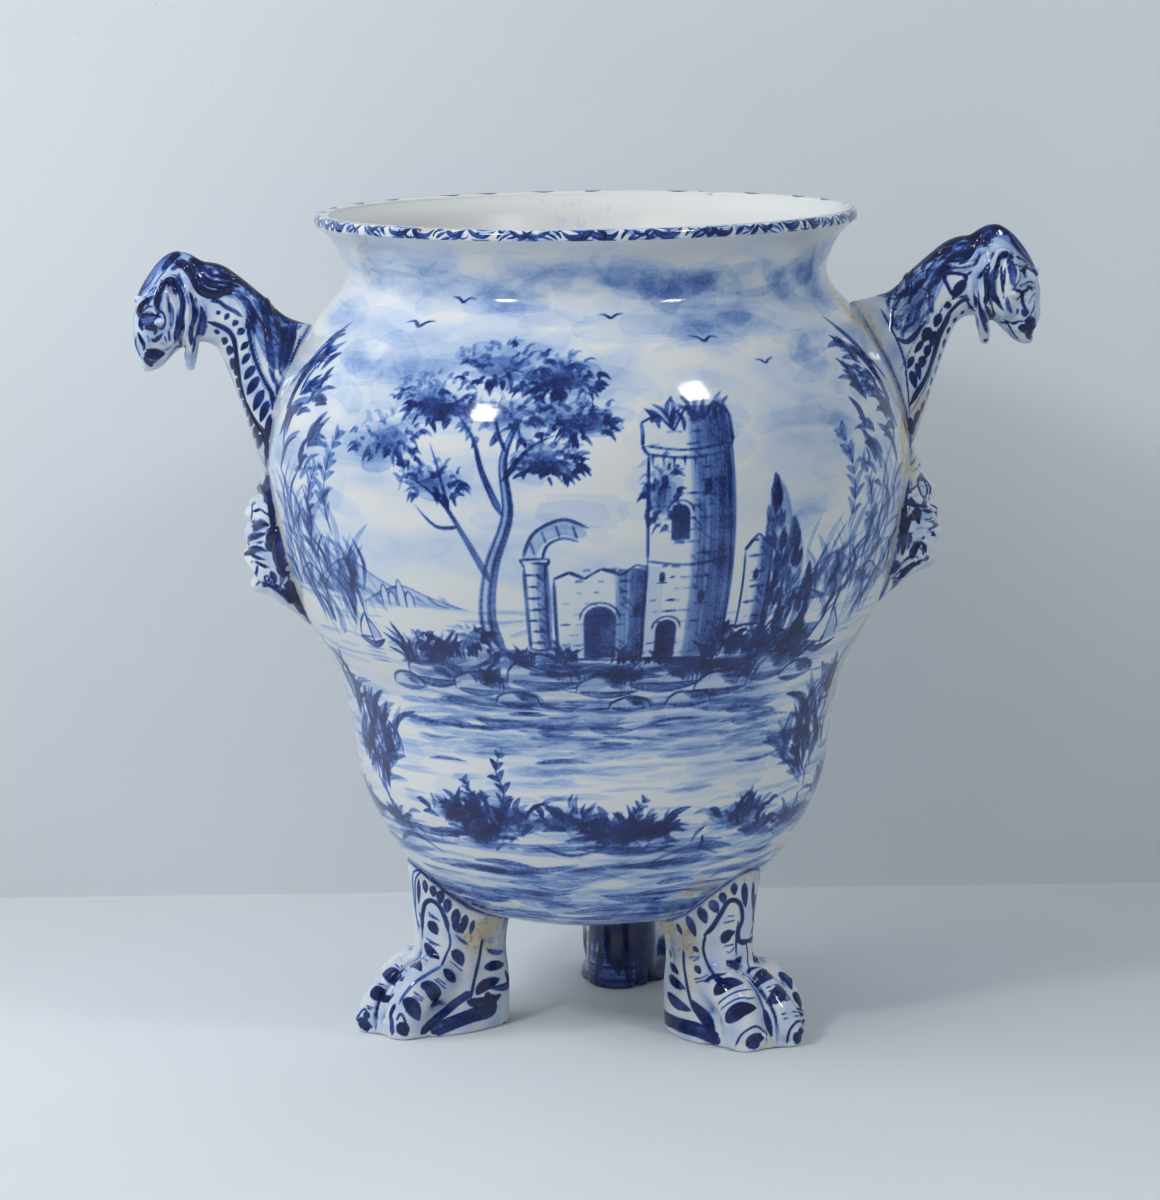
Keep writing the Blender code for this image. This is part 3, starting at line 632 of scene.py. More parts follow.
def side_plants(canvas, side, rng):
    """Tall water plants that frame the picture beside a handle, and grasses that lean in below them."""
    for bearing, height, lean, reach, width, load in REEDS:
        blade(canvas, (side * -bearing, height), (0, 0), -side * lean, reach, width, load, rng, 0.3)
        blade(canvas, (side * -bearing, height), (side, -1), -side * lean, reach * 0.9, width * 0.3, 0.95,
              rng, 0.34)
    for bearing, height in ((66, 400), (63, 418), (60, 398), (68, 380), (58, 372), (62, 352)):
        blades(canvas, (side * bearing, height), 8, (5, 6), -side, (0.3, 1.6), (10, 24), (2.6, 5.0),
               (0.7, 0.96), rng)
    for bearing, height in ((67, 318), (61, 306), (55, 290), (68, 284), (50, 268), (60, 264), (46, 286)):
        where = (side * bearing, height)
        blades(canvas, where, 13, (10, 8), side, (-0.5, 1.1), (22, 52), (2.4, 5.2), (0.16, 0.5), rng, 0.35)
        blades(canvas, where, 3, (9, 7), side, (-0.5, 0.9), (16, 36), (2.0, 3.6), (0.7, 0.95), rng, 0.35)
    for bearing, height in ((57, 300), (51, 320)):
        stem = [(0, 0), (side * 6, 20), (side * 2, 44), (side * -6, 62)]
        spray(canvas, (side * bearing, height), stem, 17, 4.0, 0.62, rng, 8)
    for bearing, height in ((66, 176), (60, 196), (68, 214), (60, 168), (54, 184)):
        blades(canvas, (side * bearing, height), 16, (5, 6), side, (-1.2, 0.6), (14, 38), (2.8, 6.0),
               (0.5, 0.95), rng, 0.3)


def near_shore(canvas):
    """The near shore: a pale strip with plants, and loaded level strokes down to the base."""
    rng = np.random.default_rng(83)
    scatter(canvas, rng, 160, (-180, 180), (146, 178), (8, 28), (1.6, 5), (0.08, 0.34))
    scatter(canvas, rng, 380, (-180, 180), (78, 146), (14, 40), (3, 8.5), (0.12, 0.42), "leaf", 3.0)
    scatter(canvas, rng, 130, (-180, 180), (82, 146), (12, 34), (2.4, 6.5), (0.5, 0.9), "leaf", 3.4)
    for start in range(-180, 180, 40):
        for bearing, height, size in ((15, 150, 28), (31, 140, 22), (-4, 141, 24)):
            clump(canvas, (start + bearing + rng.normal(0, 4), height + rng.normal(0, 2)),
                  size * rng.uniform(0.8, 1.15), rng)
    for bearing, height, size in ((-25, 152, 32), (7, 142, 36)):
        clump(canvas, (bearing, height), size, rng, 0.95, 44)
    spray(canvas, (-23, 154), path_of("0,0 4,14 0,28 5,42"), 11, 3.0, 0.9, rng, 5)
    spray(canvas, (-27, 154), [(0, 0), (-8, 12), (-12, 22)], 9, 2.6, 0.85, rng, 4)
    spray(canvas, (9, 148), [(0, 0), (3, 10), (9, 19)], 8, 2.6, 0.85, rng, 4)
    scatter(canvas, rng, 110, (-180, 180), (70, 100), (16, 26), (5, 12), (0.22, 0.52), "flat")


# Narrow trees: bearing, height of the root, height and width
SLIM_TREES = number_rows("""
33.5 264 96 12, 37.5 258 74 11, 42 252 50 9, 150 258 80 11, 146 256 56 10, -160 256 64 10
""")
# Tufts at the foot of the ruins: bearing, height and reach
SHORE_TUFTS = number_rows("""
-31 250 18, -5 252 15, 6 250 14, 14 250 14, 23 250 16, 31 252 18, 160 250 20, 178 250 22, -168 250 18
""")
# Birds: bearing, height and size
BIRDS = number_rows("""
-38 442 11, -29 456 8, 24 434 9, 36 420 7, 5 448 8, -160 430 9
""")


def paint_wall(canvas):
    """The whole picture, from the sky down. It runs round the wall, with its ruins in front."""
    rng = np.random.default_rng(5)
    sky(canvas)
    far_shore(canvas)
    water(canvas)
    for side in (-1, 1):
        side_plants(canvas, side, rng)
    big_tree(canvas, (172, 254), 29)
    island(canvas)
    for bearing, height, tall, wide in SLIM_TREES:
        slim_tree(canvas, (bearing, height), tall, wide, rng)
    big_tree(canvas, (-17, 252), 23)
    ruins(canvas)
    for bearing, height, reach in SHORE_TUFTS:
        tuft(canvas, (bearing, height), 8, reach, 13, 0.92, rng, 2.6, 0.0, 1.5)
        scatter(canvas, rng, 5, (bearing - 5, bearing + 5), (height - 9, height), (8, 18), (3, 6), (0.5, 0.8))
    sail_boat(canvas, (52, 248), 30, rng)
    sail_boat(canvas, (-47, 256), 20, rng)
    sail_boat(canvas, (-145, 252), 30, rng)
    near_shore(canvas)
    canvas.fill((77, 300), path_of("-9,-14 -12,20 -7,60 -9,104 6,112 12,60 10,-10"), 0.06, keep=0.22)
    canvas.fill((74, 226), path_of("-6,-40 -9,-4 -4,34 8,40 10,0 4,-38"), 0.1, keep=0.35)
    for bearing, height, size in BIRDS:
        bird(canvas, (bearing, height), size, rng)


# Warm stains, where bare clay and old slip show through the glaze: bearing, mark, half length, half
# height and strength
WALL_STAINS = number_rows("""
84 474 12 16 0.6, 80 446 13 24 1, 83 416 12 26 1, 84 388 12 24 1, 79 370 12 22 1, 77 350 12 24 1,
78 318 13 24 1, 74 300 10 16 0.8, 74 240 10 24 0.8, 73 210 9 18 0.6, -78 300 8 18 0.5, -86 468 9 14 0.5,
-84 424 8 22 0.5, -82 372 8 22 0.5, -80 318 9 16 0.5, 36 96 18 12 0.8, 52 104 16 9 0.6, 66 94 13 10 0.6,
-60 94 15 10 0.7, -76 98 12 8 0.5, -88 92 12 8 0.4, 158 92 14 9 0.6, 178 92 14 9 0.6, 100 430 10 26 0.7,
98 360 10 24 0.6, -100 430 10 26 0.5, -98 360 10 24 0.5
""")


def warm_of(sheet, spots):
    """The warm stain on a sheet: soft uneven blots."""
    rng = np.random.default_rng(97)
    warm = np.zeros_like(sheet.cobalt)
    for bearing, mark, half, rise, strength in spots:
        for _ in range(5):
            shift = rng.normal(0, 0.35, 2)
            size = rng.uniform(0.4, 1.0)
            wide, tall = 2.4 * half, 2.4 * rise
            place, across, up = sheet.patch((bearing, mark), (-wide, -tall), (wide, tall))
            if across.size == 0:
                continue
            gap = np.hypot(across / half - shift[0], up / rise - shift[1]) / size
            wobble = 0.2 * np.sin(across * 0.5 + bearing) * np.sin(up * 0.4 + 1.3 * shift[0])
            warm[place] = np.maximum(warm[place], strength * blend(1.15, 0.2, gap + wobble))
    return warm


# Meshes

def new_piece(name, places, faces, material, cobalt=None, warm=None, uvs=None):
    """A smooth mesh object with its cobalt and its warm stain stored on the points."""
    mesh = bpy.data.meshes.new(name)
    mesh.vertices.add(len(places))
    mesh.vertices.foreach_set("co", np.asarray(places, np.float32).ravel())
    sides = faces.shape[1]
    mesh.loops.add(faces.size)
    mesh.loops.foreach_set("vertex_index", faces.ravel().astype(np.int32))
    mesh.polygons.add(len(faces))
    mesh.polygons.foreach_set("loop_start", np.arange(0, faces.size, sides, dtype=np.int32))
    if uvs is not None:
        mesh.uv_layers.new(name="OFBake").uv.foreach_set("vector", np.asarray(uvs, np.float32).ravel())
    mesh.update(calc_edges=True)
    mesh.validate()
    piece = bpy.data.objects.new(name, mesh)
    bpy.context.scene.collection.objects.link(piece)
    stain(mesh, cobalt, warm)
    mesh.materials.append(material)
    mesh.shade_smooth()
    return piece


def stain(mesh, cobalt, warm):
    """Store the painted strengths that the glaze reads."""
    for label, values in (("cobalt", cobalt), ("warm", warm)):
        data = np.zeros(len(mesh.vertices)) if values is None else np.ravel(values)
        mesh.attributes.new(label, "FLOAT", "POINT").data.foreach_set("value", data.astype(np.float32))


def grid_faces(rows, columns, closed=False):
    """Quads over a grid of points, with the outer side facing out of a turned wall."""
    count = columns if closed else columns - 1
    row, column = np.meshgrid(np.arange(rows - 1), np.arange(count), indexing="ij")
    after = (column + 1) % columns
    corners = [row * columns + column, row * columns + after, (row + 1) * columns + after,
               (row + 1) * columns + column]
    return np.stack([corner.ravel() for corner in corners], -1)


def grid_uvs(rows, columns, closed=False, strips=1):
    """A place on the unit square for each corner, with the length cut into strips that lie side by side."""
    count = columns if closed else columns - 1
    row, column = np.meshgrid(np.arange(rows - 1), np.arange(count), indexing="ij")
    per_strip = math.ceil(count / strips)
    strip = column // per_strip
    left = (column - strip * per_strip) / per_strip
    right = left + 1 / per_strip
    low, high = row / (rows - 1), (row + 1) / (rows - 1)
    inset = 0.01
    flat = []
    for u, v in ((left, low), (right, low), (right, high), (left, high)):
        flat.append(np.stack([inset + u * (1 - 2 * inset),
                              (strip + inset + v * (1 - 2 * inset)) / strips], -1))
    return np.stack(flat, 2).reshape(-1, 2)


def dress(piece, node):
    """Tie a piece to the vase, to the solid that it stands for and to its finish."""
    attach(piece, "root")
    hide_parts(node)


def sheet_piece(name, sheet, glaze, stains, closed=True, strips=1):
    """A painted sheet as a piece of the body. One that goes right round is closed on itself."""
    cobalt = sheet.cobalt[:, :-1] if closed else sheet.cobalt
    rows, columns = cobalt.shape
    uvs = grid_uvs(rows, columns, closed, strips) if strips else None
    piece = new_piece(name, sheet.grid()[:, :columns].reshape(-1, 3), grid_faces(rows, columns, closed),
                      glaze, cobalt, warm_of(sheet, stains)[:, :columns], uvs)
    dress(piece, "vase_body")


# Materials

def linear(code):
    """A linear colour from an sRGB hex value."""
    parts = [int(code[i:i + 2], 16) / 255 for i in (1, 3, 5)]
    return tuple(p / 12.92 if p <= 0.04045 else ((p + 0.055) / 1.055) ** 2.4 for p in parts) + (1.0,)


def add_node(tree, kind, settings=(), links=()):
    """Add a node with its settings and input links. A link from a node means its first output."""
    node = tree.nodes.new("ShaderNode" + kind)
    for key, value in dict(settings).items():
        if isinstance(key, int) or key in node.inputs:
            node.inputs[key].default_value = value
        else:
            setattr(node, key, value)
    for key, source in dict(links).items():
        tree.links.new(getattr(source, "outputs", [source])[0], node.inputs[key])
    return node


def colour_stops(ramp, stops):
    """Set a colour ramp's stops from (place, hex) pairs in rising order."""
    elements = ramp.color_ramp.elements
    elements.remove(elements[1])
    elements[0].position = stops[0][0]
    elements[0].color = linear(stops[0][1])
    for place, code in stops[1:]:
        elements.new(place).color = linear(code)


def settings():
    """The sizes and the glaze roughness that the panel shows."""
    return bpy.context.scene.painted_vase


# Cobalt under glaze, from the bare white ground to the darkest brush marks
COBALT_STOPS = [(0.0, "#dadcdc"), (0.13, "#c3cfe0"), (0.32, "#9ab2d6"), (0.52, "#6484bd"), (0.67, "#3d5d9f"),
                (0.79, "#1f3678"), (0.90, "#112056"), (1.0, "#0a143e")]


def tin_glaze(name, dull=0.0, thick=0.0):
    """White tin glaze, dipped and fired with painted cobalt: milky, glassy, streaked where colour pools."""
    chosen = settings()
    material = bpy.data.materials.new(name)
    material.use_nodes = True
    tree = material.node_tree
    shader = tree.nodes["Principled BSDF"]
    shader.inputs["IOR"].default_value = 1.5
    shader.inputs["Roughness"].default_value = chosen.glaze_roughness + dull
    place = add_node(tree, "TexCoord").outputs["Object"]
    cobalt = add_node(tree, "Attribute", {"attribute_name": "cobalt"}).outputs["Fac"]
    warm = add_node(tree, "Attribute", {"attribute_name": "warm"}).outputs["Fac"]
    # Pigment gathers in patches about 14 mm across and in grains of about 1.5 mm
    patches = add_node(tree, "TexNoise", {"Scale": 1 / (14 * MM), "Detail": 3.0}, {"Vector": place})
    grains = add_node(tree, "TexNoise", {"Scale": 1 / (1.5 * MM), "Detail": 2.0}, {"Vector": place})
    mottle = add_node(tree, "Math", {"operation": "MULTIPLY_ADD", 1: 0.5, 2: 0.62 + thick},
                      {0: patches})
    grain = add_node(tree, "Math", {"operation": "MULTIPLY_ADD", 1: 0.36, 2: 0.82}, {0: grains})
    broken = add_node(tree, "Math", {"operation": "MULTIPLY"}, {0: mottle, 1: grain})
    strength = add_node(tree, "Math", {"operation": "MULTIPLY"}, {0: cobalt, 1: broken})
    ramp = add_node(tree, "ValToRGB", {}, {"Fac": strength})
    colour_stops(ramp, COBALT_STOPS)
    # Old slip is cream, with brown specks about 2 mm across where it is thickest
    specks = add_node(tree, "TexNoise", {"Scale": 1 / (2.4 * MM), "Detail": 3.0}, {"Vector": place})
    slip = add_node(tree, "ValToRGB", {}, {"Fac": specks})
    colour_stops(slip, [(0.0, "#cfc196"), (0.54, "#c0ab79"), (0.65, "#86663e"), (1.0, "#523620")])
    clotted = add_node(tree, "Math", {"operation": "MULTIPLY_ADD", "use_clamp": True, 1: 2.6, 2: -0.45},
                       {0: patches})
    bare = add_node(tree, "Math", {"operation": "MULTIPLY_ADD", "use_clamp": True, 1: -1.5, 2: 1.15},
                    {0: strength})
    seen = add_node(tree, "Math", {"operation": "MULTIPLY"}, {0: clotted, 1: bare})
    stained = add_node(tree, "Math", {"operation": "MULTIPLY"}, {0: warm, 1: seen})
    cream = add_node(tree, "Mix", {"data_type": "RGBA"},
                     {0: stained, 6: ramp.outputs["Color"], 7: slip.outputs["Color"]})
    tree.links.new(cream.outputs[2], shader.inputs["Base Color"])
    # The glaze lies in slow waves about 20 mm apart
    waves = add_node(tree, "TexNoise", {"Scale": 1 / (20 * MM), "Detail": 1.0}, {"Vector": place})
    bump = add_node(tree, "Bump", {"Strength": 0.25, "Distance": 0.4 * MM}, {"Height": waves})
    tree.links.new(bump.outputs["Normal"], shader.inputs["Normal"])
    return material


def studio_paint(name, pale, worn):
    """Matt emulsion on a studio wall: pale, with roller clouding, faint scuffs and no shine.

    It is painted on the front only. From behind it is see-through, so the vase shows from all sides.
    """
    material = bpy.data.materials.new(name)
    material.use_nodes = True
    tree = material.node_tree
    shader = tree.nodes["Principled BSDF"]
    shader.inputs["Roughness"].default_value = 0.9
    shader.inputs["Specular IOR Level"].default_value = 0.2
    place = add_node(tree, "TexCoord").outputs["Object"]
    # Clouding about half a metre across, and scuffs of about 4 mm
    clouding = add_node(tree, "TexNoise", {"Scale": 1 / (500 * MM), "Detail": 3.0}, {"Vector": place})
    scuffs = add_node(tree, "TexNoise", {"Scale": 1 / (4 * MM), "Detail": 1.0}, {"Vector": place})
    sparse = add_node(tree, "Math", {"operation": "MULTIPLY_ADD", "use_clamp": True, 1: 7.0, 2: -5.3},
                      {0: scuffs})
    both = add_node(tree, "Math", {"operation": "ADD"}, {0: clouding, 1: sparse})
    ramp = add_node(tree, "ValToRGB", {}, {"Fac": both})
    colour_stops(ramp, [(0.3, pale), (0.75, worn)])
    tree.links.new(ramp.outputs["Color"], shader.inputs["Base Color"])
    back = add_node(tree, "NewGeometry").outputs["Backfacing"]
    bare = add_node(tree, "BsdfTransparent")
    sides = add_node(tree, "MixShader", {}, {0: back, 1: shader.outputs[0], 2: bare})
    tree.links.new(sides.outputs[0], tree.nodes["Material Output"].inputs["Surface"])
    return material


# Operators

class VaseSettings(bpy.types.PropertyGroup):
    """What a user would change."""

    front_pitch: bpy.props.FloatProperty(
        name="Front grid", description="Distance between painted points in front",
        default=0.8 * MM, unit="LENGTH")
    back_pitch: bpy.props.FloatProperty(
        name="Back grid", description="Distance between painted points behind",
        default=1.6 * MM, unit="LENGTH")
    clay_grain: bpy.props.FloatProperty(
        name="Clay grain", description="Size of the facets of the modelled pieces",
        default=0.8 * MM, unit="LENGTH")
    glaze_roughness: bpy.props.FloatProperty(
        name="Glaze roughness", description="How far the glaze blurs lights",
        default=0.09, subtype="FACTOR", min=0.0, max=1.0)


class VASE_OT_wall(bpy.types.Operator):
    """Build the painted outside of the body, front and back"""

    bl_idname = "vase.wall"
    bl_label = "Painted wall"

    def execute(self, context):
        chosen = settings()
        glaze = tin_glaze("Tin glaze, painted wall")
        for name, first, last, pitch in (("wall_front", -90, 90, chosen.front_pitch),
                                         ("wall_back", 90, 270, chosen.back_pitch)):
            sheet = TurnedSheet(WALL_OUTLINE, WALL_OUTLINE[:, 1], first, last, pitch / MM)
            paint_wall(sheet)
            sheet_piece(name, sheet, glaze, WALL_STAINS, closed=False)
        return {"FINISHED"}


class VASE_OT_rim(bpy.types.Operator):
    """Build the rolled lip with its scroll border"""

    bl_idname = "vase.rim"
    bl_label = "Rim"

    def execute(self, context):
        glaze = tin_glaze("Tin glaze, rim border")
        sheet = TurnedSheet(LIP_OUTLINE, run_of(LIP_OUTLINE), -180, 180, 0.45)
        paint_lip(sheet)
        sheet_piece("rim_border", sheet, glaze, RIM_STAINS, strips=12)
        return {"FINISHED"}


# One repeat of the scroll border, in millimetres along the lip and up from its lower edge
BORDER_REPEATS = 28
SCROLL_BORDER = mark_table("""
flat 3.6 34 6,6.4 10,5.6 14,6.4
leaf 3.4 42 20,3.6 25,5.4 31,4.4
flat 3.6 30 27,1.4 32,1.2 37,2
leaf 3.6 100 1,7.4 4.6,3.4 9.6,2.2 14.4,3.4 18.2,7.4
drop 2.4 100 0.4,6.8 -3.2,4.2 -1.6,1 1.8,1.5 1.4,3.6
leaf 1.7 95 18.4,1.2 20.8,4.6 24,6.6
leaf 1.7 95 20.4,0.6 23.6,3.2 27.6,5.2
leaf 1.5 90 23,0.5 26.6,1.4 30.6,2.9
leaf 2.5 100 25.2,6.6 30.6,3.5 36.6,6.6
drop 2.4 98 8.4,4.6 9.8,5.4
drop 2.2 95 33.4,1.8 34.8,1.6
leaf 1.6 90 3.8,7.8 10,6.9 16,8
leaf 2.1 95 31,0.6 35,2.6 39,6.6
drop 2.6 95 19.4,7 21.6,5.8
leaf 1.5 85 4.6,0.7 9,0.2 15.4,1
""")


def paint_lip(canvas):
    """A running scroll border, no two repeats alike, a thin line above it and stray marks over the top."""
    rng = np.random.default_rng(3)
    step = 360 / BORDER_REPEATS
    for index in range(BORDER_REPEATS):
        bearing = -180 + index * step + rng.normal(0, 0.5)
        stretch = rng.uniform(0.84, 1.16)
        turned = rng.uniform() < 0.4
        canvas.stroke((bearing, 0), [(-1, 0.4), (18, 0.2), (39, 0.4)], 0.8, rng.uniform(0.1, 0.45), rng,
                      "flat", 0.9)
        canvas.stroke((bearing, 0), [(-1, 8.0), (18, 7.7), (39, 8.0)], 1.1, rng.uniform(0.5, 0.95), rng,
                      "flat", 0.9)
        for form, width, load, path in SCROLL_BORDER:
            shift = rng.normal(0, 0.7, 2) * (1.0, 0.5)
            tilt = rng.normal(0, 0.07)
            middle = path[len(path) // 2][0]
            moved = [((37 - x if turned else x) * stretch + shift[0] + rng.normal(0, 0.4),
                      y + shift[1] + tilt * (x - middle)) for x, y in path]
            canvas.stroke((bearing, 0), moved, width * rng.uniform(0.75, 1.35),
                          min(load * rng.uniform(0.85, 1.1), 1.0), rng, form, 0.25)
        if rng.uniform() < 0.6:
            start = rng.uniform(0, 30)
            canvas.stroke((bearing, 0), [(start, 10.2), (start + 5, 10.8), (start + 11, 10.4)], 1.4, 0.8,
                          rng, "leaf")
            if abs(bearing) > 100:
                canvas.stroke((bearing, 0), [(start - 4, 8.6), (start + 4, 11), (start + 14, 9)], 4.6,
                              0.96, rng, "leaf")
    for bearing, half in CHIPS:
        edge = [(-half, 15), (-half, 7.8), (-half / 3, 5.4), (half / 2, 6.6), (half, 9), (half, 15)]
        canvas.fill((bearing, 0), edge, 0.0, keep=0.05)


class VASE_OT_bore(bpy.types.Operator):
    """Build the white inside, the floor and the underside"""

    bl_idname = "vase.bore"
    bl_label = "Inside and underside"

    def execute(self, context):
        inside = np.vstack([BORE_OUTLINE, [[0.0, FLOOR_HEIGHT]]])
        below = np.vstack([[[0.0, OUTSIDE[0, 1]]], OUTSIDE[:1]])
        for name, outline, coat, stains in (("inside_wall", inside, "Tin glaze, inside", BORE_STAINS),
                                            ("underside", below, "Tin glaze, underside", BASE_STAINS)):
            sheet = TurnedSheet(outline, run_of(outline), -180, 180, 1.8)
            if name == "inside_wall":
                spatter(sheet)
            sheet_piece(name, sheet, tin_glaze(coat, INSIDE_WEAR), stains, strips=0)
        return {"FINISHED"}


# Water and soil have etched the glaze inside
INSIDE_WEAR = 0.22

# Chips on the lip, as a bearing and half a length
CHIPS = [(-34, 8), (-29, 4), (24, 3), (150, 5)]

# Bare clay in the chips, a little old slip inside, and the worn base
RIM_STAINS = number_rows("""
-34 11 10 6 1, -34 8 7 4 1, -29 11 5 5 1, 24 11 4 4 0.8, 150 11 6 5 0.8
""")
BORE_STAINS = number_rows("""
-150 60 40 26 0.16, 150 90 50 40 0.16, 172 250 40 30 0.3, 20 380 60 40 0.4, -60 390 50 40 0.35
""")
BASE_STAINS = number_rows("""
0 30 60 40 0.6, 120 34 60 40 0.7, -120 36 60 40 0.6
""")


def spatter(canvas):
    """Stray cobalt that fell inside: runs and grains below the lip, most of them at the back."""
    rng = np.random.default_rng(19)
    for _ in range(90):
        bearing = rng.normal(183, 9) if rng.uniform() < 0.7 else rng.uniform(-180, 180)
        place = (bearing, rng.uniform(2, 30))
        drop = rng.uniform(0.5, 7)
        canvas.stroke(place, [(0, 0), (rng.normal(0, 0.6), drop)], rng.uniform(1.8, 3.4),
                      rng.uniform(0.02, 0.14), rng, "leaf", 0.8)
    for _ in range(26):
        canvas.wash((rng.uniform(-180, 180), rng.uniform(4, 380)), (rng.uniform(14, 40), rng.uniform(8, 24)),
                    rng.uniform(0.01, 0.05), rng, crisp=0.8)


# Clay. A handle, mask or foot is a fine skin over its solid, pushed in and out along brushed paths,
# joined to the wall with slip, and then painted on its own surface.

WALL_STEPS = np.gradient(OUTSIDE, axis=0)
WALL_MARKS = run_of(OUTSIDE)


def wall_gap(places):
    """How far places stand out of the wall, and the way square to it there."""
    radius = np.hypot(places[:, 0], places[:, 1])
    distance, run, side = nearest(OUTSIDE, radius, places[:, 2])
    mark = run * WALL_MARKS[-1]
    lean = np.stack([np.interp(mark, WALL_MARKS, WALL_STEPS[:, 1]),
                     -np.interp(mark, WALL_MARKS, WALL_STEPS[:, 0])], -1)
    lean /= np.linalg.norm(lean, axis=1)[:, None]
    level = places[:, :2] / np.maximum(radius, 1.0)[:, None]
    return -side * distance, np.concatenate([level * lean[:, :1], lean[:, 1:]], 1)


class Clay:
    """A closed skin of fine quads, in millimetres. Marks are given in the piece's own axes."""

    def __init__(self, node, axes, origin, grain, softness):
        self.axes = np.array(axes, float)
        self.origin = np.array(origin, float)
        raw = bpy.data.objects.new(node + "_raw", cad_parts[node].data.copy())
        bpy.context.scene.collection.objects.link(raw)
        weld = raw.modifiers.new("Weld", "WELD")
        weld.merge_threshold = 0.01 * MM
        rounder = raw.modifiers.new("Round", "SUBSURF")
        rounder.levels = rounder.render_levels = 2
        skin = raw.modifiers.new("Skin", "REMESH")
        skin.mode = "VOXEL"
        skin.voxel_size = grain * MM
        soften = raw.modifiers.new("Soften", "SMOOTH")
        soften.factor = 0.5
        soften.iterations = softness
        mesh = raw.evaluated_get(bpy.context.evaluated_depsgraph_get()).data
        places = np.empty(3 * len(mesh.vertices), np.float32)
        mesh.vertices.foreach_get("co", places)
        corners = np.empty(len(mesh.loops), np.int32)
        mesh.loops.foreach_get("vertex_index", corners)
        self.places = places.reshape(-1, 3).astype(float) / MM
        self.faces = corners.reshape(-1, 4)
        bpy.data.objects.remove(raw, do_unlink=True)
        self.cobalt = np.zeros(len(self.places))
        self.warm = np.zeros(len(self.places))
        self.refresh()

    def refresh(self):
        """Read the normals and the sight tree again after the skin has moved."""
        a, b, c, d = (self.places[self.faces[:, index]] for index in range(4))
        square = np.cross(c - a, d - b)
        corners = self.faces.ravel()
        total = np.stack([np.bincount(corners, np.repeat(square[:, axis], 4), len(self.places))
                          for axis in range(3)], -1)
        self.normals = total / np.maximum(np.linalg.norm(total, axis=1), 1e-9)[:, None]
        self.tree = BVHTree.FromPolygons(self.places.tolist(), self.faces.tolist())

    def around(self, values):
        """The mean of a value over each point's neighbours."""
        first = self.faces.ravel()
        second = np.roll(self.faces, 1, axis=1).ravel()
        size = len(self.places)
        count = np.maximum(np.bincount(first, minlength=size) * 2.0, 1.0)
        columns = np.reshape(values, (size, -1)).T
        total = [np.bincount(first, column[second], size) + np.bincount(second, column[first], size)
                 for column in columns]
        return np.reshape(np.stack(total, -1) / count[:, None], np.shape(values))

    def soften(self, steps, share=0.5):
        """Even the skin out."""
        for _ in range(steps):
            self.places += (self.around(self.places) - self.places) * share
        self.refresh()

    def blots(self, size, seed):
        """Uneven values about 1 over the skin, in blots of about a size."""
        rng = np.random.default_rng(seed)
        ways = rng.normal(0, 1, (9, 3)) / size
        phases = rng.uniform(0, math.tau, 9)
        return 1 + sum(np.sin(self.places @ way + phase) for way, phase in zip(ways, phases)) / 3.2

    def pool_and_shade_hollows(self, load):
        """Colour that runs into the grooves and dries there, laid on as painted shade in the hollows too: the
        deeper the hollow, the darker.
        """
        hollow = np.einsum("ij,ij->i", self.around(self.places) - self.places, self.normals)
        hollow = self.around(self.around(hollow))
        # Darker in the hollows: cobalt pooled in the grooves, and painted shade there
        hollow_shade = blend(0.008, 0.05, hollow) * np.clip(self.blots(3.0, 5), 0.2, 1.3)
        self.cobalt = laid_over(self.cobalt, load * hollow_shade)

    def slip(self, point, reach, strength):
        """Old cream slip around a point on the piece's own axes."""
        gap = np.linalg.norm(self.places - (self.origin + self.axes @ np.asarray(point, float)), axis=1)
        stain_here = strength * blend(1.0, 0.25, gap / reach + 0.25 * (self.blots(5.0, 31) - 1))
        self.warm = np.maximum(self.warm, stain_here)

    def meet(self, starts, aims):
        """Where sight lines in the piece's own axes first meet the skin, or the spot nearest to them."""
        met = []
        for start, aim in zip(np.asarray(starts, float), np.asarray(aims, float)):
            place = Vector(self.origin + self.axes @ start)
            way = Vector(self.axes @ aim).normalized()
            spot = self.tree.ray_cast(place, way, SIGHT)[0]
            if spot is None:
                spot = self.tree.find_nearest(place + way * (SIGHT / 2))[0]
            met.append(spot[:])
        return np.array(met)

    def from_side(self, points, near):
        """Places on one flank for (out, up) points. near is -1 or 1 across the piece."""
        starts = [(out, near * SIGHT / 2, up) for out, up in points]
        return self.meet(starts, [(0, -near, 0)] * len(starts))

    def near(self, points):
        """The skin's places nearest to points on the piece's own axes."""
        return np.array([self.tree.find_nearest(Vector(self.origin + self.axes @ point))[0][:]
                         for point in np.asarray(points, float)])

    def track(self, spots):
        """A smooth path on the skin through places on it, with the skin's normals along it."""
        path = smooth(spots, 6 if len(spots) > 2 else 3)
        near = [self.tree.find_nearest(Vector(point)) for point in path]
        return np.array([item[0][:] for item in near]), np.array([item[1][:] for item in near])

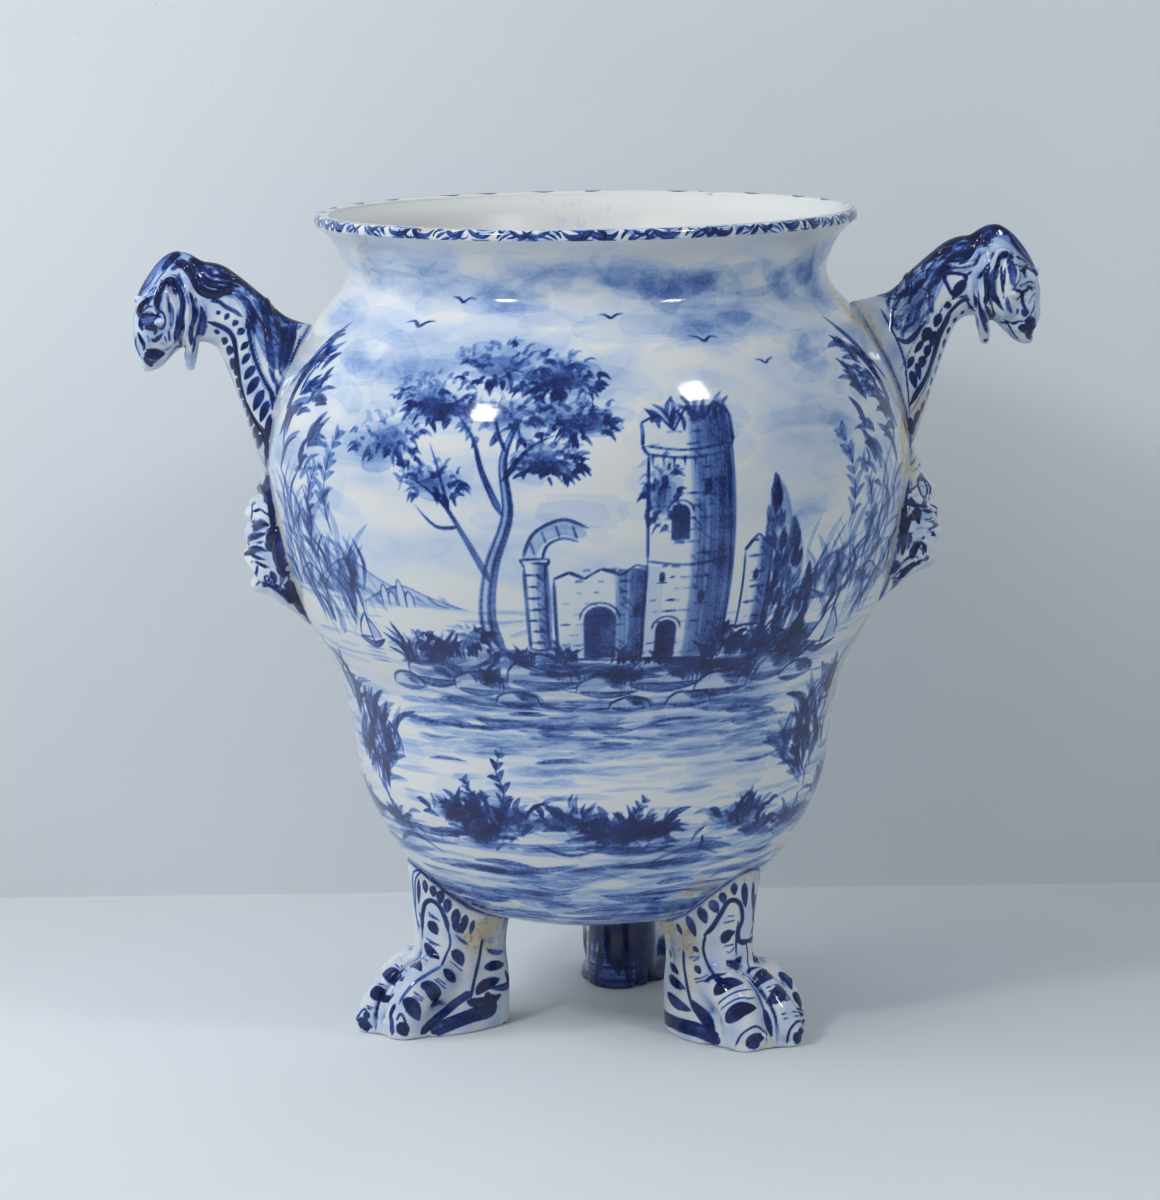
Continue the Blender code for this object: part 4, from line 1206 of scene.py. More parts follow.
    def beside(self, spots, reach):
        """Points of the skin near a path: which ones, their distance, run, and lane to one side."""
        path, facing = self.track(spots)
        boxed = (self.places > path.min(0) - reach) & (self.places < path.max(0) + reach)
        chosen = np.flatnonzero(np.all(boxed, 1))
        places = self.places[chosen]
        steps = np.linalg.norm(np.diff(path, axis=0), axis=1)
        marks = np.concatenate([[0.0], np.cumsum(steps)]) / max(steps.sum(), 1e-6)
        best = np.full(len(chosen), 1e12)
        run = np.zeros(len(chosen))
        lane = np.zeros(len(chosen))
        away = np.zeros((len(chosen), 3))
        for index in range(len(path) - 1):
            step = path[index + 1] - path[index]
            share = np.clip((places - path[index]) @ step / max(step @ step, 1e-9), 0.0, 1.0)
            offset = places - path[index] - share[:, None] * step
            gap = np.einsum("ij,ij->i", offset, offset)
            closer = gap < best
            best = np.where(closer, gap, best)
            run = np.where(closer, marks[index] + share * (marks[index + 1] - marks[index]), run)
            ahead = step / max(np.linalg.norm(step), 1e-9)
            lane = np.where(closer, offset @ np.cross(facing[index], ahead), lane)
            away = np.where(closer[:, None], facing[index], away)
        seen = np.einsum("ij,ij->i", self.normals[chosen], away) > -0.2
        return chosen[seen], np.sqrt(best[seen]), run[seen], lane[seen]

    def ground(self, load, size, seed):
        """A thin uneven coat of blue over the whole piece."""
        self.cobalt = np.clip(load * self.blots(size, seed), 0.0, 1.0)

    def press(self, spots, width, height, form="line"):
        """Raise (or with a negative height, sink) the skin along a path."""
        chosen, gap, run, _ = self.beside(spots, width)
        room = np.maximum(width / 2 * FORMS[form](run), 0.2)
        lift = np.cos(np.clip(gap / room, 0, 1) * math.pi / 2) ** 2 * np.minimum(1.0, FORMS[form](run) * 1.5)
        self.places[chosen] += self.normals[chosen] * (height * lift)[:, None]

    def brush(self, spots, width, load, form="leaf", streaks=0.25):
        """One pull of a loaded brush over the skin."""
        chosen, gap, run, lane = self.beside(spots, width / 2 + 1.5)
        half = width / 2
        room = half * FORMS[form](run)
        cover = np.clip((room - gap) / GLAZE_BLEED + 0.5, 0.0, 1.0)
        turn = float(np.sum(spots[0])) % math.tau
        hair = (np.sin(5 * lane / half + turn) + np.sin(11 * lane / half + 2 * turn + 3 * run)) / 2
        mood = 1.2 * load * (1 - streaks * (0.5 + 0.5 * hair)) * (1 + 0.1 * np.sin(4 * run + turn))
        edge = 1 + 0.2 * np.exp(-(np.clip(room - gap, 0, None) / 0.8) ** 2)
        self.cobalt[chosen] = laid_over(self.cobalt[chosen], cover * mood * edge)

    def lute(self, seam, depth=2.6, reach=5.0, flare=1.6):
        """Sink the seat into the wall, flare its edge like a joint wiped with slip, and line it."""
        gap, way = wall_gap(self.places)
        across = self.normals - way * np.einsum("ij,ij->i", self.normals, way)[:, None]
        swell = flare * np.clip(1 - gap / reach, 0.0, 1.0) ** 2
        self.places += across * swell[:, None] - way * (depth * blend(3.4, 0.2, gap))[:, None]
        still = self.places.copy()
        self.soften(5)
        self.places = still + (self.places - still) * blend(9.0, 4.0, gap)[:, None]
        self.refresh()
        gap = self.around(self.around(wall_gap(self.places)[0]))
        self.warm = np.maximum(self.warm, 0.6 * blend(9.0, 0.5, gap) * np.clip(self.blots(6.0, 13), 0, 1.4))
        line = seam * np.exp(-((gap - 1.2) / 0.9) ** 2) * np.clip(self.blots(9.0, 23), 0, 1)
        self.cobalt = laid_over(self.cobalt, line)

    def piece(self, name, material):
        """The painted skin as an object."""
        return new_piece(name, self.places * MM, self.faces, material, self.cobalt, self.warm)


# How far the sight lines run, and how far a mark's edge spreads in the firing
SIGHT = 160.0
GLAZE_BLEED = 0.7

# Handles. Marks are (out, up) from a point in the head's middle
HEAD_PLACE = (252.5, 441.0)
MASK_PLACE = (195.0, 344.0)
RIGHT_LIFT = 10.0


def handle_clay(side, grain):
    """A handle's skin, with its axes: out, across and up from the head's middle."""
    lift = RIGHT_LIFT if side > 0 else 0.0
    name = "right_handle" if side > 0 else "left_handle"
    return Clay(name, np.diag([side, 1, 1]), (side * HEAD_PLACE[0], 0.0, HEAD_PLACE[1] + lift), grain, 5)


# Brush marks are (form, width, load, path) and relief marks (form, width, height, path), in millimetres

HEAD_RELIEF = mark_table("""
line 6 240 4.1,1.1 6.5,7.5 4.7,14.5 1.3,19.6 -3.4,20 -7.2,14.4 -8.9,7.2 -8.5,-1.4 -6,-10.1 -3,-17.3
leaf 5 -180 -0.3,12.8 -1.3,4.8 -1.6,-3.3 -0.9,-9.2
line 2 100 -1.3,8 -2,-0.6 -1,-7.6
line 4.2 150 -11.4,14.5 -11.9,4 -11,-9 -8.5,-20 -8.5,-28.6
line 2.2 -130 -10,12.4 -10.2,4 -9.2,-6.3 -7.3,-16.4
line 2.2 -100 -16.4,9.8 -16.6,-1.5 -15.3,-11.9 -12.9,-21.4
leaf 5 140 -19.5,6.5 -20.8,-3.3 -18.2,-12.2 -14.2,-22.1
line 6.5 180 -5.4,31.3 -10.7,28.9 -15,22.4 -18.2,16.6 -23,12.8 -29.2,11.9 -37.2,14
line 2.2 -110 -13.6,30.1 -17.9,22.3 -21.4,18.1 -27.6,15.6 -35.6,15.9
line 2.4 90 -19.4,25.8 -24.8,20.6 -32.9,18.8 -42.4,15.8
line 2.4 90 -21.9,27.8 -30.1,24 -41.2,19.9
line 1.8 -70 -20.5,23.8 -26.5,19.2 -34.5,17.2 -42.4,14.6
leaf 5.5 200 19.5,-0.8 15.6,6.3 11.6,9.7 7,12.8
leaf 3.6 -160 17.7,-2.7 13.2,0.6 7.9,0.4
leaf 6.5 200 8.4,-4.8 5.2,-4.3 1.8,-4
line 2.4 80 14.9,-7.1 11.3,-6.8 7.7,-8
line 2.4 -120 18.7,-11.8 15.7,-17.6 15.4,-22.1
line 2 90 20.1,-14.1 20.7,-20.5 17.2,-26.7
line 2.2 -140 14.9,-21.9 9.2,-21.5 4.1,-22.7 -1.1,-20.4
leaf 9 180 14.3,-26.1 9.6,-26.2 4.4,-25.4
line 1.8 70 12.5,12.6 8.6,17.4 5.6,22
line 1.8 -60 10.1,12.3 6.7,16.5 4.1,20.6
line 2 -80 -23.5,-5.7 -30.5,-7.4 -36.4,-10.9 -39.9,-16.8
line 2 -80 -38.8,-15.3 -40.3,-24.1 -41.3,-33.6 -43.1,-45.6 -46.3,-56.6 -52.4,-67.1 -59.3,-77.3
line 3.2 120 -47,-4.1 -49.9,-21.5 -53.2,-31.5 -57.4,-40.6 -61.7,-48 -64.2,-52.1
line 5 90 -50.5,11.2 -52.4,-1.8 -55,-13.3 -57.5,-23.2
line 2.2 -90 -54.5,10 -56.6,-3.6 -59.2,-20
line 5 90 -60.5,10.2 -62.4,-8 -65,-21.8
line 2.2 -90 -66.3,5 -67.4,-12.2 -68.9,-26.8
""")

LEFT_HANDLE_PAINT = mark_table("""
leaf 5.4 80 5,1.7 6.8,7.5 5,13.4 1.8,18.6
line 4 88 3.9,15 1.9,19.6 -1.8,20.5 -5.7,16.9
line 4.2 93 -4,18.9 -7.5,13.4 -8.7,7.1 -8,-0.9 -6.1,-9 -2.7,-17.9
leaf 3 55 -1.3,8 -2.3,2.1 -2.1,-6 -0.4,-9.7
leaf 4 96 19.2,-1.2 16.2,5.3 12.7,9.2 8.2,11.6
line 0.8 80 17.3,0.1 13,4.2 9.1,5.2
line 1 70 19.3,7.8 17.5,11.5 11.7,18.1 8.1,23.9
line 1 60 12.5,12.6 7.9,15.9 5.2,17.5
line 1.2 60 8.6,17.4 4.8,22.6 1.6,25.7
leaf 7.5 62 18.6,-3.3 14.5,-3.6 10,-2.4 5.6,-0.5
line 1.2 85 16.2,-1 13.2,0 9.3,-0.2 5.6,-0.5
leaf 3.4 90 17.7,-3.2 17.4,-6.4 15.5,-9.8
line 1.3 92 7,-0.6 4.1,2.2 2,-0.5 1.6,-4.3 3.4,-8.1 6.2,-8.2
leaf 3.6 90 14.9,-8.2 10.7,-7.8 8,-8.9 9,-12.5
leaf 2.6 85 11,-14.4 8.4,-15.8 3.3,-11.1
line 1.2 75 2.3,-13.1 1.3,-17.1
line 1.3 75 -0.2,-9.7 -0.5,-16.2
leaf 3 92 19.3,-10.8 17.3,-14.4 15.3,-19.3 16,-22.1
line 1 92 20.1,-13.6 21.1,-19.4 19.2,-23.8 17,-27.6
line 0.8 55 13.1,-12.7 11.9,-17.1
leaf 6.6 97 15.6,-24.9 11,-24.4 6.8,-24.4 3.3,-25
leaf 5 97 15.1,-25.5 13,-29.6 11.7,-32.6
leaf 4 90 13.1,-30.1 9.2,-28.5 6,-26.5
line 1 70 5.7,-32.1 2.7,-28.1 -1.4,-22.9 -4.7,-19.9
line 1.8 75 -2.5,-21.2 -5.1,-20.6 -7.6,-25.3 -8.3,-31
line 3.4 80 -13,12.8 -14.8,6.8 -15,-0.2 -13.8,-9 -13,-19.1
leaf 4.8 76 -19.4,4.4 -20.9,-2.7 -18.9,-9.9 -15.8,-16 -13.5,-24.3
line 1.2 65 -6.1,24.1 -8.6,18.6 -11.9,10.8 -12.7,6
flat 6.2 86 -5.4,30.3 -10.8,28.1 -14.8,22.5 -17.9,16.6 -22.2,12.5 -28.1,11.4 -32.9,13.3 -37.7,14
flat 5 80 -14.4,30.5 -21.8,29.7 -29.9,28 -37.8,24 -46.5,20.2
line 1.8 75 -18.3,25.8 -22.2,21.2 -27.5,18.4 -35.5,17.7 -42.9,14.8
line 1.6 70 -17.9,22.3 -22.2,19.1 -26.5,17.4
line 1.4 65 -26.3,27.2 -32.8,23.4 -41.2,19.9
line 4.4 80 -5.8,35.9 -2.7,32.9 1.1,29.3 3.8,25.6
line 2.6 60 -1.7,26.2 -5.4,28.2 -8.6,29.7
line 2.6 70 -25.4,7.4 -30.2,6.8 -34.5,3.6 -39.8,0.8 -44.1,-2.4
line 3.2 90 -23.6,-5.5 -29.5,-7.3 -35.5,-10.6 -38.8,-15.3 -40.3,-24.1 -41.3,-33.6 -43.1,-45.6 -46.3,-56.6
line 4.6 93 -45.5,-54.1 -48.9,-61.5 -52.4,-67.1 -56.8,-72.7 -57.7,-81.5
leaf 2.8 80 -30.2,1.6 -29.3,-1.3
leaf 3.2 82 -36.1,-0.5 -33.5,-4
leaf 3.6 82 -41.5,-4.4 -38.5,-7.7
leaf 4.4 80 -45.3,-9.4 -41,-13.1
leaf 3.8 75 -47.4,-17.3 -43.2,-22.4
leaf 4 78 -48.6,-24 -43.6,-30.9
leaf 5.2 82 -51.7,-31.5 -44.7,-40.2
leaf 5.8 84 -54.2,-38.1 -46.2,-49.6
leaf 6.2 84 -56.9,-46 -50,-59.1
leaf 5.8 82 -59.7,-52.2 -54.3,-65.6
leaf 5.2 88 -61.2,-60 -58.1,-78.1
line 2.8 88 -47,-4.1 -49.9,-21.5 -53.2,-31.5 -57.4,-40.6 -61.7,-48 -61.9,-57.4
leaf 3.8 90 -29,-10 -28.2,-13
leaf 4.4 90 -34,-14.6 -32.4,-19.4
leaf 5.4 92 -37.4,-20 -34.8,-25.6
leaf 6 92 -39.6,-27.4 -36.8,-34.4
leaf 5 92 -41.6,-33.4 -38.8,-38
leaf 5.4 92 -42,-40 -39.8,-45.6
leaf 5.2 92 -43.4,-46.8 -41.6,-52.4
leaf 4.8 92 -45.2,-53.2 -43.6,-58.2
leaf 4.8 92 -46.6,-58.8 -45.2,-63.2
leaf 5.6 93 -50,-63 -46.8,-69.2
leaf 6.2 93 -53.2,-68.2 -49.2,-76.6
leaf 6 92 -55.8,-73.3 -51.2,-83
leaf 5 88 -59.4,-77.8 -57.3,-89.2
line 0.9 85 -78.8,-15 -75,-27.2 -71.1,-41.1 -67.3,-56.4 -64,-71.8 -61.9,-88.9 -60.2,-97.1
line 1 80 -30.9,-26.8 -36.3,-38.9 -43.4,-61.2 -50.5,-81.9 -57.9,-95.8
leaf 3 60 -60,-33.1 -62.6,-38.1 -65.1,-43 -64.8,-48.4
flat 13 42 -60,2 -66,-14 -65,-30
leaf 8 60 -72,-8 -70,-22 -67,-38
leaf 5 55 -58,-10 -61,-24 -63,-42
leaf 4 70 -76,-10 -73,-22 -69,-34
line 1 60 -66,-33.2 -68.5,-38.1 -70.2,-42.8
""")

RIGHT_HANDLE_PAINT = mark_table("""
leaf 5.6 72 -1.7,18.6 -5.4,12.9 -7.7,4.8 -7.3,-3.8 -4.6,-9.2 -1.1,-14.3
leaf 5.6 70 1.4,18.7 3.1,13.4 4.4,7 4.7,-0.3
leaf 4.4 92 -3.4,16 -0.1,19.2 3.6,18.9 4.6,16.5
line 1.6 95 -1.9,13.2 -2.5,5.9 -1.4,-3.7
line 4 90 -10.8,13.3 -12.4,6 -11.1,-2 -12.1,-10.2
leaf 3.2 92 -12.1,-10.2 -9.5,-16.1 -7.2,-22.2
leaf 2.8 92 -16.5,5 -14.5,7.3 -10.6,11.7
line 2.6 75 -18,-5.8 -15.6,-13.1 -12.7,-21.5 -10,-28.5
line 2.2 80 -15.2,-9.2 -13,-15.8 -10.5,-21.6
leaf 2.6 92 -10.7,-32.2 -10.7,-34.6
leaf 4.4 90 9.7,9.5 14.4,10.4 18.9,5.3
line 1 85 11.7,1.8 15.5,3 20.8,2.1
line 2 96 5.8,-2 10.7,-3.1 14.3,-0.8
line 2 96 10.7,-3.1 10.2,-8 11.9,-12.9 14.3,-16
line 0.8 55 14,-10.8 16.9,-5.6 19.2,-5.3
line 1.6 90 2.3,31.9 7.6,24.4 12.4,17.9 16.8,11.9 19.7,7.1
line 1.8 92 4.3,27.2 9.6,20.7 14.9,14.4
line 2 92 7.5,17.4 14.1,13.5
line 1.4 85 5.9,13.6 12.3,11.4 15.3,12.6
leaf 3 62 0.5,-5.6 1.8,-11.9 4.4,-16.3
line 1.1 80 7.6,-13.4 7.4,-17
leaf 2.6 85 10.2,-13.7 11.9,-17.3 14.3,-15.7
leaf 7 95 8,-24.6 12.2,-25.7 16.1,-26.9 18.7,-27.4
leaf 5.5 95 12,-21.2 15.3,-20.7 19.2,-24.6
leaf 5 95 13.4,-28 17.2,-31.3 18.2,-29.6
line 1 80 2,-26.2 6,-31.8 10.8,-35.6 15.3,-35
line 1.4 85 -2.2,-22.4 1.8,-22.9 4.5,-27.1 9.6,-33.3
line 1 80 22.6,-21 20.4,-26.6
line 0.7 45 18,-8.3 17.4,-14.2 19.3,-19.9
leaf 3 92 0,30.5 2.3,31.9 3.5,33.3
flat 6 45 -5.3,34.2 -1.9,35.6 2,33.9
line 1 80 -6.8,35.2 -3,38.2 1.3,35.4
flat 5.6 80 -44.2,16.9 -37.8,21.2 -31.7,26.9 -22.5,29 -14,29.8
line 3.4 80 -36.1,13 -30.6,17.7 -23.1,19.2 -18.7,22.1
line 3.4 84 -27,13.8 -22.1,16.6 -17.6,22.3 -14.1,26.4 -9.5,29.5
line 1.6 70 -39.4,8.3 -34,11.4 -26,11.4 -19.2,12.9
line 1.6 70 -25,5.3 -19.8,9.2
line 2 92 -35.7,8 -28.7,8 -23.1,6.1 -25.6,0.8 -28.8,-2.9
line 2 92 -31.6,-5.1 -34.2,0.3 -36.3,5.1 -35.7,8
leaf 6.4 93 -23.4,4.2 -27.8,-1.4 -31.5,-7.8
line 2.4 90 -21.4,-7.6 -25.8,-8.6 -30.2,-12.4 -34.2,-16.9 -37,-22
leaf 3.2 88 -18.8,-12.4 -21.4,-13.6
leaf 2.8 90 -23.8,-15.2 -26.4,-17
leaf 3.8 92 -28.4,-19 -30.8,-22.4
leaf 4.2 88 -32.4,-9.6 -36.5,-12.5
line 4.2 94 -33,-17.5 -38.2,-26 -42.2,-37 -45.2,-48.6 -49.2,-56.5 -53.6,-62.6 -58.6,-70.4
leaf 5.4 92 -38.7,-16 -42.7,-23.9
leaf 6.6 92 -45.3,-23.8 -49.7,-32.4
leaf 5.8 90 -41.8,-26 -44.9,-36
leaf 4.2 90 -49.7,-31.6 -55.4,-38.8
leaf 5.6 90 -46.2,-34.3 -48,-42.2
leaf 6 90 -49.3,-40.8 -51.6,-48.2
leaf 4.4 90 -54.2,-44.7 -51.8,-55.5
leaf 4.4 88 -55.9,-40.5 -59.9,-47.8
leaf 5.4 92 -57.6,-49.1 -54.5,-60.3
leaf 3.8 94 -33,-24.4 -34.4,-29
leaf 3.4 94 -35.8,-31.4 -36.8,-37.4
leaf 3.6 95 -38.4,-40.4 -39.4,-45.4
leaf 3.8 95 -40.6,-47.8 -41.8,-53.6
leaf 4.6 95 -43.4,-54.8 -44.8,-60.6
leaf 5.2 95 -45.4,-61.6 -47.2,-68.4
leaf 6 95 -48.4,-68.4 -51,-76
leaf 7.4 95 -52.6,-73.6 -54.2,-83
leaf 6.4 95 -55.6,-89 -58.6,-77.4
line 1.4 92 -39.8,-67.4 -44.1,-75.9 -49.2,-84.4 -53.9,-91.6
leaf 1.6 85 -43.2,-78.5 -46.2,-85.7
line 1.1 85 -74.4,-13.4 -65.8,-30.4 -62.7,-38.6 -60.7,-47.8 -59.6,-59.5 -58.7,-71.5 -58.2,-76.7
leaf 3.4 80 -65.4,-29.6 -60,-32.1 -53.9,-27.3 -47.8,-19.9
""")


def carve(clay, marks):
    """Raise and sink a piece's forms, alike on both flanks."""
    for form, width, height, path in marks:
        for near in (-1, 1):
            clay.press(clay.from_side(path, near), width, height, form)
    clay.refresh()
    clay.soften(1)


def paint_flanks(clay, marks):
    """Paint a piece alike on both flanks."""
    for form, width, load, path in marks:
        for near in (-1, 1):
            clay.brush(clay.from_side(path, near), width, load, form)


# The upper and lower edges of each mane, in millimetres out and up from the head's middle
LEFT_MANE = (path_of("-12.5,31.7 -25.3,31.7 -36.9,27.9 -47.2,21.5 -60,12.5 -72.8,0.9 -80.5,-6.2"),
             path_of("-11.2,26.6 -16.3,15.7 -26.6,10.9 -42,8 -48.4,-5.5 -53.6,-19.6 -65.1,-34"))
RIGHT_MANE = (path_of("-1.3,34.9 -13.2,31.3 -25.1,30.9 -35.7,24.9 -48.9,16.3 -62.2,5.7 -72.8,-6.8"),
              path_of("-10.5,22.3 -22.5,14.3 -35.7,9.1 -40.3,1.1 -44.3,-9.5 -47,-20.1 -60.9,-33.3"))


def paint_mane(clay, edges, seed):
    """Streaky dark colour down the neck's back, in pulls that follow the hair."""
    rng = np.random.default_rng(seed)
    upper, lower = (smooth(edge, 8) for edge in edges)

    def spot(share, depth):
        index = int(round(min(share, 1.0) * (len(upper) - 1)))
        return upper[index] + (lower[index] - upper[index]) * depth

    for near in (-1, 1):
        for depth in (0.05, 0.3, 0.55, 0.8):
            path = [spot(share, depth) for share in (0.04, 0.3, 0.5, 0.75, 0.94)]
            clay.brush(clay.from_side(path, near), 9.0, 0.5 - 0.2 * depth, "flat", 0.9)
        for _ in range(130):
            share, depth = rng.uniform(0, 0.95) ** 0.8, rng.uniform(0, 1) ** 1.2
            reach = rng.uniform(0.05, 0.2)
            path = [spot(share, depth), spot(share + reach / 2, depth + rng.normal(0, 0.07)),
                    spot(share + reach, depth + rng.normal(0, 0.1))]
            clay.brush(clay.from_side(path, near), rng.uniform(1.2, 4.0),
                       rng.uniform(0.25, 0.95) * (1.1 - 0.4 * depth), "leaf", 0.7)
    crest = [(out, 0.0, up + 2) for out, up in upper[::6]]
    for width, load in ((15, 0.45), (9, 0.5), (5, 0.5)):
        clay.brush(clay.near(crest), width, load, "flat", 0.9)


# Colour that a broad brush left down the middle of the forehead and nose, which also paints the dark shade
# and dark reflection along the head's edge: places out, across and up
HEAD_RIDGE_PAINT_AND_SHADE = path_of("-4,0,34 8,0,28 16,0,18 21,0,8 24,0,-4 24,0,-16 22,0,-28")
HEAD_RIDGE_SHADE_WASHES = ((28, 0.22), (19, 0.35), (9, 0.6), (4, 0.7))


class VASE_OT_handles(bpy.types.Operator):
    """Model and paint the two beast-head handles"""

    bl_idname = "vase.handles"
    bl_label = "Handles"

    def execute(self, context):
        glaze = tin_glaze("Tin glaze, painted handles", thick=0.12)
        for side, name in ((-1, "left_handle"), (1, "right_handle")):
            clay = handle_clay(side, settings().clay_grain / MM)
            carve(clay, HEAD_RELIEF)
            clay.ground(0.13, 4.0, 7 + side)
            clay.pool_and_shade_hollows(0.75)
            clay.lute(0.8)
            clay.slip((-62, 0, -88), 44, 1.0 if side > 0 else 0.4)
            # Dark washes down the forehead and nose: brush colour, plus painted shade and a painted dark
            # reflection along the head's edge
            for width, load in HEAD_RIDGE_SHADE_WASHES:
                clay.brush(clay.near(HEAD_RIDGE_PAINT_AND_SHADE), width, load, "flat", 0.8)
            paint_mane(clay, LEFT_MANE if side < 0 else RIGHT_MANE, 43 + side)
            paint_flanks(clay, LEFT_HANDLE_PAINT if side < 0 else RIGHT_HANDLE_PAINT)
            dress(clay.piece(name + "_skin", glaze), name)
        return {"FINISHED"}


MASK_RELIEF = mark_table("""
leaf 6 160 6.8,-12.3 4.1,-7.8 -1,-11.5
line 2 -120 8.7,-22.3 4,-20.6 -0.4,-22.4 -4.2,-26.2
leaf 7 160 9.3,-32.4 4,-28.9 -2.4,-28.9
line 9 200 -0.8,-38.3 -3,-34.1 -7.7,-33.9 -6.7,-46.7 -8.3,-53.1 -9.6,-58.2 -12.8,-56.9
line 2.4 -120 -2.8,-40.8 -7.6,-39.1 -8.7,-45.8 -8.4,-52.8
leaf 7 140 13.9,-45 8.3,-36.9 -0.2,-34.4
line 2 -120 14,-46 6.2,-40.4 -0.1,-38.4
leaf 5 100 13.1,-46 6.4,-44.2 -0.5,-45.1
line 2.2 -160 7.8,-52.4 2.7,-54.6 -2,-56.3
line 3.2 120 4.7,-68.7 0.3,-65.9 -4.3,-68.3 -8.6,-72.1 -12.2,-76.1 -15.5,-82.2
line 2 -100 4.4,-64.7 -1.1,-63.9 -6.2,-67.4 -10.6,-71.6
""")

LEFT_MASK_PAINT = mark_table("""
flat 8.5 84 -0.3,-1.9 -0.4,-9.2 -1.1,-14.4
line 3 80 -2.1,-16.9 -3.1,-23.3 -4.2,-29.6 -6,-37.9 -8.2,-45.2
leaf 6 88 7.5,-13.7 5,-9 -0.2,-11
leaf 5 88 5.6,-8.1 0.5,-10 -1.7,-14.5
leaf 3.6 95 10.2,-19.3 7,-17.5
leaf 5 95 -1,-14.6 -3.8,-18 -5.9,-22.3
line 1.4 92 -1.1,-17.7 -4.5,-16.8 -2.5,-23.5
line 1.2 88 8.7,-22.3 4,-20.5 -0.4,-22.7
line 1.4 88 -0.4,-21.5 -3.8,-24.9 -4.8,-27.4
line 1 80 9.8,-15 9.2,-21.8 10,-28.6
leaf 6.2 92 9.3,-33 4.8,-28.8 -2.4,-28.6
line 1.4 85 -1,-32 -4.5,-28.7 -5.2,-23.6
leaf 7.2 90 14.3,-45.1 9.1,-36.4 0.1,-33.5
leaf 5.2 90 15.6,-49.5 6.4,-43.9 -0.5,-45.1
leaf 2.4 85 11.9,-47.4 6.8,-49.7 0.8,-50.8
line 9.6 88 -0.8,-37.6 -3,-34.1 -7.7,-33.9 -6.7,-46.7 -8.3,-53.1 -9.6,-58.2 -12.8,-57.6
leaf 6.4 92 -0.8,-37 -1.4,-41.6 -5.5,-41.9
line 1.8 85 -6.5,-28.7 -5.9,-43 -8.4,-47.5 -9.1,-51.2
leaf 4.6 85 -5.8,-27.4 -5.3,-39.8 -8.2,-44.1
line 1 85 7.8,-53 11.3,-60.3 12.7,-65.6 12.5,-68.3
leaf 3.4 85 6.4,-54.4 7.6,-60.2 9.4,-70.1
line 1.2 85 0.8,-60 2,-61.6 0.9,-63.9 -0.8,-62.3 0.8,-60
leaf 4.2 88 -1.9,-57.3 -3.8,-61.7 -4.7,-65.3
leaf 4 70 -7.1,-51.4 -8.7,-58.5 -7.5,-67.5
line 1 80 -5.3,-53 -7.1,-51.8 -8,-53.5
line 3.2 90 4.7,-68.7 0.3,-65.9 -4.3,-68.3 -8.6,-72.1 -12.2,-76.1 -15.5,-82.2
flat 8 92 -13.3,-65 -15.6,-75 -18.6,-81.3 -21.6,-87.4
line 1.6 70 -13.2,-71 -16.7,-76.5 -19.2,-83.2
line 1.2 80 -1.1,-6.7 -3.4,-13.8 -5,-23 -5.9,-30.9
line 1.6 90 -12.8,-57.6 -13.6,-68.8 -17.8,-75.6 -24.7,-74.8 -29.1,-84.2
""")

RIGHT_MASK_PAINT = mark_table("""
line 2.6 92 7.4,-15.6 3.8,-17.6 4.1,-22.6 6.7,-28.4 5.5,-33.9
leaf 4 92 4.5,-17.7 7.3,-17.9 8.1,-20.9
line 1.4 88 7.9,-17 10.9,-21.8 10.8,-27.9
line 1.2 88 8.5,-20.4 9.3,-26.2 8.5,-31.4 5.7,-34.6
line 1.8 88 -1.9,-26.5 0.9,-30.5 5.4,-33.3
leaf 3.4 85 -5.3,-29.6 -2.6,-29 0.9,-32.5
line 1.2 85 10.2,-29.2 16,-38 17.5,-42.4
line 3 92 6.1,-35.4 11.2,-36.3 17.6,-43.9 16.3,-47
leaf 3.4 88 12.6,-43.2 16.4,-46.6 11.3,-48.1
line 1 75 7.4,-41.9 12.6,-41
line 4.4 90 3.8,-43.1 2.4,-38.1 -1.2,-38.3 -4.4,-44.9 -5.6,-52.5 -6.3,-62.4
leaf 7 96 -1.2,-40.3 2.4,-36.8 3.8,-43.8
leaf 3.4 70 -7.4,-32.7 -7.8,-45.8 -8.4,-53.5 -9.7,-60.8
line 1 70 -3.7,-35.3 -6.1,-41.3 -7.7,-49.6
line 1.4 85 -5,-44.1 -4,-31.9 3.1,-33.5
leaf 3.8 75 -2.5,-48.6 -2,-53.7 -3.2,-59.4
line 1 75 -4.3,-48.4 0,-48.9
leaf 5 88 -0.7,-65.2 1.3,-58.4 6.2,-54.7
leaf 3 85 6.2,-55.3 8.2,-62.3
line 1 80 2.7,-57.8 5.4,-59.3 6.8,-63.5
leaf 4.6 92 11.6,-52 14.2,-59.2 16.2,-67.1
line 1.2 85 11.3,-50.7 15.5,-57.1 17,-63.3 16.2,-67.1
line 3.4 90 11.8,-67.8 6.3,-67.2 0.6,-68.7 -4,-73 -7.7,-78.6
flat 4.8 80 -8,-78.6 -8.8,-84 -10.7,-87.1
leaf 4.4 75 -9.5,-65.7 -10.3,-71.1 -12.4,-75.8
line 1 75 -6.7,-67.7 -7.2,-73.6
line 1.4 70 -2,-16.1 -4.2,-26.8 -6.1,-38.3 -7.9,-51.6 -9.7,-61.9
line 0.9 70 -3,-18.9 -1.4,-24.2 -0.8,-16.6
line 0.9 70 -2.3,-33.7 -5.3,-28.6
""")


